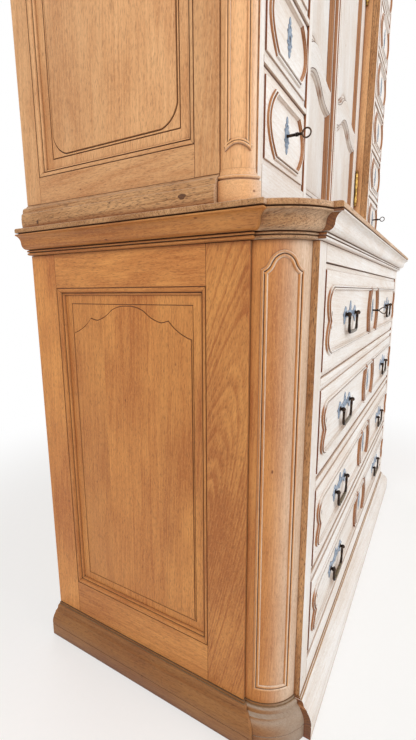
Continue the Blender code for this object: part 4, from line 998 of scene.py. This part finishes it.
def frames():
    def opening(node):
        low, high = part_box(node)
        return low.z - FIT, high.z + 2 * DRAWER_PLAY - FIT

    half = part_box("long_drawer_1")[1].x + DRAWER_PLAY
    long_openings = [opening(f"long_drawer_{n}") for n in (4, 3, 2, 1)]
    drawer_frame("lower_drawer_frame", long_openings, (-half, half), Z_LOWER + FIT)
    for side, _ in SIDES:
        low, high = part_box(f"small_drawer_{side}_1")
        small_openings = [opening(f"small_drawer_{side}_{n}") for n in range(1, 7)]
        stiles = (low.x - DRAWER_PLAY, high.x + DRAWER_PLAY)
        drawer_frame(f"stack_frame_{side}", small_openings, stiles, Z_BASE + FIT)


def backs():
    """Back boards of vertical planks, and the shelf."""
    for node, count in BACK_PLANKS:
        planks(f"{node}_plank", *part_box(node), 0, count, "Z", arris=0.0015, node=node)
    plank("shelf", *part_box("cupboard_shelf"), RAW["X"], arris=0.0015, stands_for=["cupboard_shelf"])


def keyhole(radius, slot, drop):
    """A round hole over a slot, with the key's axis at (0, 0)."""
    half = slot / 2
    turn = math.asin(half / radius)
    first, sweep, count = -math.pi / 2 + turn, 2 * math.pi - 2 * turn, 14
    points = [Vector((-half, -drop)), Vector((half, -drop))]
    for i in range(count + 1):
        angle = first + sweep * i / count
        points.append(radius * Vector((math.cos(angle), math.sin(angle))))
    return points


def barrel(height, end, bulge):
    """A panel with straight head and foot and swelling sides."""
    u, v = end / 2, height / 2
    return outline((-u, -v), (u, -v), (u, v, bulge, 18), (-u, v), (-u, -v, bulge, 18))


def end_panel(height, outer, inner, hollow):
    """A long drawer's left panel: two lobes at its outer end, hollowed at its inner end."""
    v, cusp = height / 2, outer - END_MARGIN + END_CUSP
    return outline(
        (outer, -v), (inner, -v), (inner, v, -hollow, 18), (outer, v), (cusp, 0.0, END_LOBE, 14),
        (outer, -v, END_LOBE, 14),
    )


# A panel's ridge: two beads with a quirk between them, and a step inside
RIDGE = outline(
    (0.0, 0.0), (0.0006, 0.0014), (0.0018, 0.0035, -0.0003, 3), (0.0036, 0.0036), (0.0039, 0.0010),
    (0.0046, 0.0010), (0.0058, 0.0058), (0.0078, 0.0058), (0.0084, 0.0034), (0.0091, 0.0034),
    (RIDGE_WIDTH, 0.0), closed=False,
)


def cusp_notches(u):
    """Two short gouge cuts on the field of an end panel, over and under the cusp between its lobes."""
    cuts = []
    for v in (-NOTCH_LIFT, NOTCH_LIFT):
        low, high = (u, v - NOTCH_LENGTH / 2), (u, v + NOTCH_LENGTH / 2)
        cut = outline(low, (*high, 0.0030, 6), (*low, 0.0010, 6))
        cuts.append((moulded(cut, [(0.0, 0.0), (0.0003, -NOTCH_DEPTH)]), [], []))
    return cuts


def drawer(node, panels, keyed):
    """A drawer: a front with moulded panels and a keyhole, a tray, a lock plate and an escutcheon."""
    low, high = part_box(node)
    face = low.y + RIDGE_HEIGHT
    middle = Vector(((low.x + high.x) / 2, face, (low.z + high.z) / 2))
    u, v = (high.x - low.x) / 2, (high.z - low.z) / 2

    def place(a, b, out):
        return middle.x + a, face - out, middle.z + b

    shape = Shape()
    w, d = REBATE_WIDTH, REBATE_DEPTH
    rebate = [(0.0, -FRONT_BOARD), (0.0, -1.3 * d - 0.001), (0.0006, -1.3 * d), (0.55 * w, -d), (0.9 * w, -d)]
    rebate += [(0.92 * w, -0.0006), (w + 0.0004, 0.0)]
    edges = shape.rise(place, moulded(rectangle(-u, u, -v, v), rebate))
    shape.fill(edges[0])
    hole = shape.rise(place, [(keyhole(*KEYHOLE), 0.0), (keyhole(*KEYHOLE), -KEYHOLE_DEPTH)])
    shape.fill(hole[1])
    islands = [(moulded(panel, RIDGE), [], []) for panel in panels]
    islands[keyed][2].append(hole[0])
    for hand, island in ((-1, islands[0]), (1, islands[-1])) if len(panels) > 1 else ():
        island[1].extend(cusp_notches(hand * (u + DRAWER_PLAY - END_CUSP - RIDGE_WIDTH - NOTCH_GAP)))
    shape.carve(place, edges[-1], islands)
    wall = u - 0.91 * w
    # The side walls of its rebate take the dark wood: painted shade in the gaps by the frame
    front = refinish_ends(shape.done("front"), (middle.x - wall, middle.x + wall))
    clear = wall - w, v - 2 * w

    # Walls cut into the front round its panels, notches and keyhole take the dark wood: painted shade
    def cut_into(part):
        at = part.center - middle
        return at.y > 0.0004 and abs(at.x) < clear[0] and abs(at.z) < clear[1] and part.normal.y < 0.9

    refinish(front, 1, cut_into)
    piece(f"{node}_front", front, [PALE["X"], DARK["X"]], node, stands_for=[node])

    a, t = u + DRAWER_PLAY - TRAY_SIDE_GAP, v + DRAWER_PLAY - TRAY_TOP_GAP
    b, start, end = -v + TRAY_LIFT, -FRONT_BOARD - FIT, -(high.y - face)
    thin = TRAY_BOARD
    tray = {
        "side_left": ((-a, b, start), (-a + thin, t, end), "Y"),
        "side_right": ((a - thin, b, start), (a, t, end), "Y"),
        "back": ((-a + thin + FIT, b, end + thin), (a - thin - FIT, t, end), "X"),
        "bottom": ((-a + thin + FIT, b, start), (a - thin - FIT, b + thin, end + thin + FIT), "X"),
    }
    for name, (first, last, grain) in tray.items():
        plank(f"{node}_{name}", place(*first), place(*last), RAW[grain], arris=0.0012, body=node)
    half = LOCK_PLATE / 2
    near, far = (-FRONT_BOARD - gap for gap in LOCK_PLATE_FACES)
    first, last = place(-half, -half, far), place(half, half, near)
    plank(f"{node}_lock_plate", first, last, IRON, arris=0.0003, body=node)
    escutcheon(node, place)


def escutcheon(node, place):
    """A pierced steel plate round the keyhole, 62 mm tall, with a bud at each end and lobes between."""
    slim = outline(
        (0.0, -0.0300), (0.0034, -0.0235, 0.0008, 4), (0.0016, -0.0200, 0.0006, 3),
        (0.0062, -0.0165, 0.0010, 4), (0.0030, -0.0120, 0.0010, 4), (0.0092, -0.0075, 0.0014, 5),
        (0.0066, 0.0, -0.0014, 5),
        (0.0092, 0.0075, -0.0014, 5), (0.0030, 0.0120, 0.0014, 5), (0.0062, 0.0165, 0.0010, 4),
        (0.0016, 0.0200, 0.0010, 4), (0.0036, 0.0240, 0.0006, 4), (0.0, 0.0320, 0.0008, 5), closed=False,
    )
    edge = mirrored([Vector((ESCUTCHEON_BREADTH * u, v)) for u, v in slim])
    holes = [keyhole(*PLATE_KEYHOLE)]
    for hand in (-1, 1):
        for v in (-0.0080, 0.0080):
            holes.append(circle((hand * 0.0064 * ESCUTCHEON_BREADTH, v), 0.0016, 8))
    for v in (-0.0170, 0.0165):
        holes.append(circle((0.0, v), 0.0022, 10))
    levels = [(0.0, 0.0001), (0.0, 0.0008), (0.0005, 0.0013)]
    piece(f"{node}_escutcheon", pierced_plate("escutcheon", place, edge, levels, holes), STEEL, node)


def drawers():
    for n in range(1, 5):
        low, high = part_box(f"long_drawer_{n}")
        width, height = high.x - low.x + 2 * DRAWER_PLAY, high.z - low.z + 2 * DRAWER_PLAY
        tall = height - 2 * LONG_MARGIN
        left = end_panel(tall, END_MARGIN - width / 2, -BARREL_END / 2 - PANEL_GAP, BARREL_BULGE)
        right = [Vector((-u, v)) for u, v in reversed(left)]
        drawer(f"long_drawer_{n}", [left, barrel(tall, BARREL_END, BARREL_BULGE), right], 1)
        for side, _ in SIDES:
            handle(f"{n}_{side}", f"long_drawer_{n}")
    for side, _ in SIDES:
        for n in range(1, 7):
            low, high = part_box(f"small_drawer_{side}_{n}")
            tall = high.z - low.z + 2 * DRAWER_PLAY - 2 * SMALL_MARGIN
            drawer(f"small_drawer_{side}_{n}", [barrel(tall, SMALL_BARREL_END, SMALL_BARREL_BULGE)], 0)


def tube(points, radii, sides):
    """Rings of a bent bar whose middle line lies in the XZ plane."""
    rings = []
    for i, here in enumerate(points):
        along = (points[min(i + 1, len(points) - 1)] - points[max(i - 1, 0)]).normalized()
        normal = Vector((-along.z, 0.0, along.x))
        ring = []
        for k in range(sides):
            angle = 2 * math.pi * k / sides
            ring.append(here + radii[i] * (math.cos(angle) * normal + math.sin(angle) * Vector((0, 1, 0))))
        rings.append(ring)
    return rings


def handle(name, body):
    """A handle: a pierced plate with pointed lobes, two turned posts and a bail that hangs in them."""
    low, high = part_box(f"handle_plate_{name}")
    bail_low, bail_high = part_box(f"bail_{name}")
    x, back = (low.x + high.x) / 2, high.y
    axis_z, axis_y = bail_high.z - BAIL_PIN, (bail_low.y + bail_high.y) / 2
    crest, half, post, thick = high.z - axis_z, (high.x - low.x) / 2, POST_SPACING / 2, HANDLE_PLATE
    lobe, neck = 0.06 * crest, 0.03 * crest
    edge = outline(
        (0.0, crest), (0.26 * crest, 0.55 * crest, -neck, 5), (0.20 * crest, 0.30 * crest, -lobe, 4),
        (0.55 * post, 0.12 * crest, -neck, 4), (0.80 * post, 0.32 * crest, -neck, 4),
        (post, 0.60 * crest, -lobe, 4), (1.18 * post, 0.26 * crest, -lobe, 4), (half, 0.0, neck, 4),
        (1.25 * post, -0.25 * crest, neck, 4), (1.15 * post, -0.75 * crest, -neck, 5),
        (0.88 * post, -0.30 * crest, -lobe, 5), (0.55 * post, -0.20 * crest, -neck, 4),
        (0.25 * crest, -0.28 * crest, -neck, 4), (0.0, -0.5 * crest, -neck, 4), closed=False,
    )
    edge = mirrored(edge)[::-1]
    holes = []
    for hand in (-1, 1):
        holes.append(circle((hand * 0.78 * post, 0.02 * crest), 0.0028, 10))
        holes.append(circle((hand * 0.30 * post, -0.02 * crest), 0.0032, 10))
    holes.append(circle((0.0, 0.55 * crest), 0.0024, 10))

    def place(u, v, out):
        return x + u, back - out, axis_z + v

    plate = pierced_plate("plate", place, edge, [(0, 0), (0, 0.0009), (0.0006, thick)], holes)
    piece(f"handle_{name}_plate", plate, STEEL, body, stands_for=[f"handle_plate_{name}"])

    reach, ball = back - axis_y, POST_BALL
    neck, cap = 0.62 * ball, reach + 0.85 * ball
    profile = outline(
        (1.15 * ball, thick), (1.15 * ball, thick + 0.0010), (neck, thick + 0.0020, 0.0, 2),
        (neck, reach - 0.85 * ball), (neck, cap, 0.38 * ball, 10), (0.30 * ball, reach + ball),
        (0.02 * ball, reach + 1.1 * ball), closed=False,
    )
    for i, hand in enumerate((-1, 1)):
        rings = turned_rings(profile, lambda u, v, h, hand=hand: place(hand * post + u, v, h), TURNED_SIDES)
        piece(f"handle_{name}_post_{i + 1}", solid("post", rings), IRON, body)

    thin, arm, deep, corner = BAIL_RADIUS, post - ball - BAIL_RADIUS - 2 * FIT, BAIL_DROP, BAIL_CORNER
    line = [(post + ball / 2, 0.0, BAIL_PIN), (arm + 1.2 * thin, 0.0, BAIL_PIN)]
    line += [(arm + 0.4 * thin, -0.1 * thin, 0.9 * thin), (arm, -0.6 * thin, thin)]
    line += [(arm, -deep * s, thin * (1 + 0.10 * math.sin(9 * s))) for s in (0.2, 0.35, 0.5, 0.62)]
    for i in range(9):
        angle = math.pi / 2 * i / 8
        u, v = arm - corner + corner * math.cos(angle), -deep + corner - corner * math.sin(angle)
        line.append((u, v, thin * (1 + 0.25 * i / 8)))
    for s in (0.7, 0.5, 0.3, 0.15):
        line.append((s * (arm - corner), -deep, thin * (1.25 + 0.25 * (1 - s))))
    line = line + [(0.0, -deep, 1.5 * thin)] + [(-u, v, r) for u, v, r in reversed(line)]
    points = [Vector((x + u, axis_y, axis_z + v)) for u, v, _ in line]
    bail = solid("bail", tube(points, [r for *_, r in line], BAIL_SIDES))

    def held(part):
        return abs(part.center.x - x) < arm - 0.8 * corner and part.center.z < axis_z - deep / 2

    # The bail's grip takes the rubbed iron: wear, and a painted highlight
    refinish(bail, 1, held)
    piece(f"handle_{name}_bail", bail, [IRON, GRIP], f"bail_{name}", stands_for=[f"bail_{name}"])


def key(node, lock, pointed):
    """A key in its lock: a turned shank with a collar, a bow and a bit."""
    low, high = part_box(node)
    foot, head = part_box(lock)
    x, z, face = (low.x + high.x) / 2, (foot.z + head.z) / 2, high.y - KEY_DEPTH
    shank = LONG_KEY_SHANK if pointed else KEY_SHANK
    r, bow = KEY_RADIUS, face - shank - BOW_RADIUS
    profile = outline(
        (0.6 * r, KEY_DEPTH), (r, KEY_DEPTH - KEY_TIP), (r, -0.60 * shank), (1.5 * r, -0.64 * shank, 0.0, 2),
        (1.5 * r, -0.76 * shank, 0.0006, 5), (r, -0.80 * shank, 0.0, 2),
        (0.9 * r, -shank - 0.05 * BOW_RADIUS), closed=False,
    )
    stem = solid("stem", turned_rings(profile, lambda u, v, h: (x + u, face + h, z + v), TURNED_SIDES))
    piece(f"{node}_stem", stem, IRON, node, stands_for=[node])
    if pointed:
        corners = circle((0.0, 0.0), POINTED_BOW - BOW_WIRE, 3, math.pi / 2)
        middle = outline(corners[0], *[(*corners[(i + 1) % 3], 0.0022, 10) for i in range(3)])
    else:
        middle = circle((0.0, 0.0), BOW_RADIUS - BOW_WIRE, BOW_STEPS, math.pi / 2)
    shape = Shape()
    rings = []
    for i in range(WIRE_SIDES):
        angle = 2 * math.pi * i / WIRE_SIDES
        across, up = BOW_WIRE * math.sin(angle), BOW_WIRE * math.cos(angle)
        rings.append(shape.ring([(x + up, bow + b, z + a) for a, b in inset(middle, across)]))
    shape.skin(*rings, rings[0])
    piece(f"{node}_bow", shape.done("bow"), IRON, node)
    start, end, drop = KEY_BIT
    first, last = (x - r / 2, face + start, z - drop), (x + r / 2, face + end, z - 0.6 * r)
    plank(f"{node}_bit", first, last, IRON, arris=0.0003, body=node)


def keys():
    key("key_long_drawer", "long_drawer_1", True)
    for side, _ in SIDES:
        key(f"key_small_drawer_{side}", f"small_drawer_{side}_1", False)


def arched_panel(left, right, foot, spring, apex, dip, inwards=0.0):
    """A panel with an ogee arch at its head. dip raises its foot in the same ogee; inwards shrinks it."""
    left, right, foot, apex = left + inwards, right - inwards, foot + inwards, apex - inwards
    spring -= inwards / 2
    middle, half, swell = (left + right) / 2, (right - left) / 2, 0.12 * (apex - spring)
    knee, lift = middle + 0.45 * half, 0.4 * (apex - spring)
    far_knee = 2 * middle - knee
    legs = [(right, foot)]
    if dip:
        legs = [(far_knee, foot + 0.4 * dip, swell, 8), (middle, foot + dip, -swell, 8)]
        legs += [(knee, foot + 0.4 * dip, -swell, 8), (right, foot, swell, 8)]
    legs += [(right, spring), (knee, spring + lift, -swell, 8), (middle, apex, swell, 8)]
    legs += [(far_knee, spring + lift, swell, 8), (left, spring, -swell, 8), (left, foot)]
    return outline((left, foot), *legs)


def door(side, hand):
    """A door of two stiles, three rails and two fielded panels, with half of the bead over the joint."""
    node = f"door_{side}"
    low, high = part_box(node)
    face, thick = low.y + DOOR_BEAD_REACH, high.y - low.y - DOOR_BEAD_REACH
    inner, outer = sorted((abs(low.x), abs(high.x)))
    tall = high.z - low.z

    def place(u, v, out):
        return hand * u, face - out, low.z + v

    shape = Shape()
    border = rectangle(inner, outer, 0.0, tall)
    back, front = shape.rise(place, [(border, -thick), (border, 0.0)])
    shape.fill(back)
    left, right = inner + DOOR_BEAD + DOOR_MEETING, outer - DOOR_STILE
    apex, crown, foot = DOOR_SPRING + DOOR_RISE, tall - DOOR_RAIL, DOOR_SPRING + DOOR_MIDDLE_RAIL
    lower = (left, right, DOOR_RAIL, DOOR_SPRING, apex, 0.0)
    upper = (left, right, foot, crown - DOOR_RISE, crown, DOOR_RISE)
    e, r = DOOR_MOULDING, DOOR_RECESS
    recess = [(0.0, 0.0), (0.0003, -0.0022), (0.0014, -0.0022), (0.0018, -0.0008), (0.20 * e, -0.0012)]
    recess += [(0.40 * e, -0.40 * r), (0.46 * e, -0.62 * r), (0.56 * e, -0.62 * r), (0.60 * e, -0.54 * r)]
    recess += [(0.85 * e, -0.85 * r), (0.90 * e, -r), (e, -r)]
    slope = [(e + 0.008, -r), (e + 0.0085, -r + 0.0012), (e + 0.013, -0.68 * r), (e + 0.018, -0.55 * r)]
    islands = []
    for panel in (lower, upper):
        raised = [(arched_panel(*panel, inwards), height) for inwards, height in slope]
        islands.append((moulded(arched_panel(*panel), recess), [(raised, [], [])], []))
    shape.carve(place, front, islands)

    def sunk(part):
        return face + 0.0005 < part.center.y < face + thick - 0.002

    def rear(part):
        return part.normal.y > SQUARE_ON

    cuts = sorted((hand * (left - DOOR_CUT), hand * (right + DOOR_CUT)))
    first, middle, last = sliced(shape.done(node), 0, cuts)
    # The backs take the brown wood, without the front's painted light
    stile_woods, woods = [PALE["Z"], UPPER["Z"]], [PALE["X"], PALE["Z"], UPPER["Z"]]
    stile = refinish(first, 1, rear)
    piece(f"{node}_stile_1", stile, stile_woods, node, arris=0.0006, seed=shaded(STILE_TONE))
    refinish(refinish(middle, 1, sunk), 2, rear)
    piece(f"{node}_rails_and_panels", middle, woods, node, seed=shaded(RAIL_TONE), stands_for=[node])
    stile = refinish(last, 1, rear)
    piece(f"{node}_stile_2", stile, stile_woods, node, arris=0.0006, seed=shaded(STILE_TONE))

    start, end, top = inner, inner + DOOR_BEAD, DOOR_BEAD_REACH - 0.0006
    section = outline(
        (start, 0.0), (start, top), (start + 0.50 * DOOR_BEAD, top, -0.0004, 4),
        (start + 0.52 * DOOR_BEAD, 0.75 * top), (start + 0.60 * DOOR_BEAD, 0.75 * top),
        (end - 0.0005, 0.40 * top, -0.0016, 6), (end, 0.0), closed=False,
    )
    rings = [[place(u, v, h + FIT) for u, h in section] for v in (DOOR_BEAD_EDGE, tall - DOOR_BEAD_EDGE)]
    piece(f"{node}_bead", solid("bead", rings), PALE["Z"], node)


def hinges():
    """Brass hinge barrels of several knuckles between turned finials."""
    for node in [f"hinge_{side}_{level}" for side, _ in SIDES for level in ("lower", "upper")]:
        low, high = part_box(node)
        x, y, tall, r = (low.x + high.x) / 2, (low.y + high.y) / 2, high.z - low.z, (high.x - low.x) / 2
        end = [(0.05 * r, 0.0), (0.55 * r, 0.0008), (0.80 * r, 0.0030), (0.62 * r, 0.0062)]
        end += [(0.45 * r, 0.0080), (0.62 * r, 0.0088), (0.95 * r, 0.0105), (r, HINGE_FINIAL)]
        profile = list(end)
        for k in range(1, HINGE_KNUCKLES):
            seam = HINGE_FINIAL + (tall - 2 * HINGE_FINIAL) * k / HINGE_KNUCKLES
            profile += [(r, seam - HINGE_SEAM), (0.88 * r, seam), (r, seam + HINGE_SEAM)]
        profile += [(radius, tall - z) for radius, z in reversed(end)]
        rings = turned_rings(profile, lambda u, v, h: (x + u, y + v, low.z + h), HINGE_SIDES)
        piece(f"{node}_barrel", solid(node, rings), BRASS, stands_for=[node])


def seen_rays(add):
    """1 for the rays that show the background: straight to the camera, mirrored or through glass."""
    rays = add("LightPath", out=None)
    seen = rays["Is Camera Ray"]
    for name in ("Is Glossy Ray", "Is Transmission Ray"):
        seen = add("Math", {0: seen, 1: rays[name]}, operation="MAXIMUM")
    return seen


def studio():
    """A pale floor that runs out into a white background, and soft light."""
    made, add, shader = new_material("pale_floor", Roughness=0.9)
    # Plain painted board: almost white, with the faintest mottle of a roller
    place = add("TexCoord", out="Object")
    mottle = add("TexNoise", {"Vector": place, "Scale": 1 / MOTTLE, "Detail": 1.0})
    shade = add("Mix", {0: mottle, 6: linear("#F4F3F1"), 7: linear("#F8F7F6")}, out=2, data_type="RGBA")
    feed(shader, {"Base Color": shade})
    # It keeps a faint shadow round the buffet and is plain white further off
    away = add("VectorMath", {0: place}, out="Value", operation="LENGTH")
    white = add("MapRange", {0: away, 1: 0.9, 2: 1.9, 3: 0.55, 4: 1.0}, interpolation_type="SMOOTHSTEP")
    white = add("Math", {0: white, 1: seen_rays(add)}, operation="MULTIPLY")
    glow = add("Emission", {"Color": linear("#FFFFFF")})
    surface = add("MixShader", {0: white, 1: shader.outputs[0], 2: glow})
    feed(made.node_tree.nodes["Material Output"], {"Surface": surface})
    data = bpy.data.meshes.new("floor")
    reach = 14.0
    data.from_pydata([(*p, 0.0) for p in rectangle(-reach, reach, -reach, reach)], [], [(0, 1, 2, 3)])
    data.materials.append(made)
    floor = bpy.data.objects.new("floor", data)
    bpy.context.scene.collection.objects.link(floor)

    world = bpy.data.worlds.new("studio")
    bpy.context.scene.world = world
    world.use_nodes = True
    add = partial(add_node, world.node_tree)
    # It lights the buffet at less than half of the white that it shows
    level = add("MapRange", {0: seen_rays(add), 3: 0.42, 4: 1.0})
    feed(world.node_tree.nodes["Background"], {"Color": linear("#FFFFFF"), "Strength": level})

    # Lamps: place, aim, size, power, colour
    lamps = {
        "front_window": ((0.6, -4.2, 2.6), (0.1, -0.2, 0.9), 3.2, 108.0, "#FFFEFC"),
        "side_window": ((-3.4, -1.2, 3.1), (-0.6, 0.0, 1.2), 2.4, 66.0, "#FFF6EC"),
        "back_fill": ((2.5, 4.0, 3.2), (0.0, 0.2, 1.0), 3.0, 70.0, "#FFFFFF"),
    }
    for name, (spot, aim, size, power, colour) in lamps.items():
        lamp = bpy.data.lights.new(name, "AREA")
        lamp.shape = "SQUARE"
        lamp.size = size
        lamp.energy = power
        lamp.color = linear(colour)[:3]
        made = bpy.data.objects.new(name, lamp)
        made.location = spot
        made.rotation_euler = (Vector(aim) - Vector(spot)).to_track_quat("-Z", "Y").to_euler()
        bpy.context.scene.collection.objects.link(made)


def camera():
    """A wide lens close to the left front corner, as in the photograph."""
    yaw, pitch, roll = math.radians(30.131), math.radians(10.888), -0.0047
    long_side, focal = 740, 401.93  # pixels
    lens = Vector((-HALF - 0.590, FRONT - 0.1745, Z_LOWER + 0.7763))
    ahead = Vector((math.cos(yaw), math.sin(yaw), 0))
    right = Vector((math.sin(yaw), -math.cos(yaw), 0))
    up = Vector((0, 0, 1))
    looking = math.cos(pitch) * ahead - math.sin(pitch) * up
    upright = math.sin(pitch) * ahead + math.cos(pitch) * up
    across = math.cos(roll) * right + math.sin(roll) * upright
    upright = -math.sin(roll) * right + math.cos(roll) * upright
    data = bpy.data.cameras.new("camera")
    data.sensor_width = 36.0
    data.lens = focal / long_side * data.sensor_width
    made = bpy.data.objects.new("camera", data)
    turn = Matrix((across, upright, -looking)).transposed().to_4x4()
    made.matrix_world = Matrix.Translation(lens) @ turn
    bpy.context.scene.collection.objects.link(made)
    bpy.context.scene.camera = made


plinth()
waist()
sides_and_posts()
upper_base()
knots()
frames()
backs()
cornice()
drawers()
keys()
for door_side, door_hand in SIDES:
    door(door_side, door_hand)
hinges()
studio()
camera()
bpy.context.scene.view_settings.view_transform = "Standard"

bpy.context.view_layer.update()
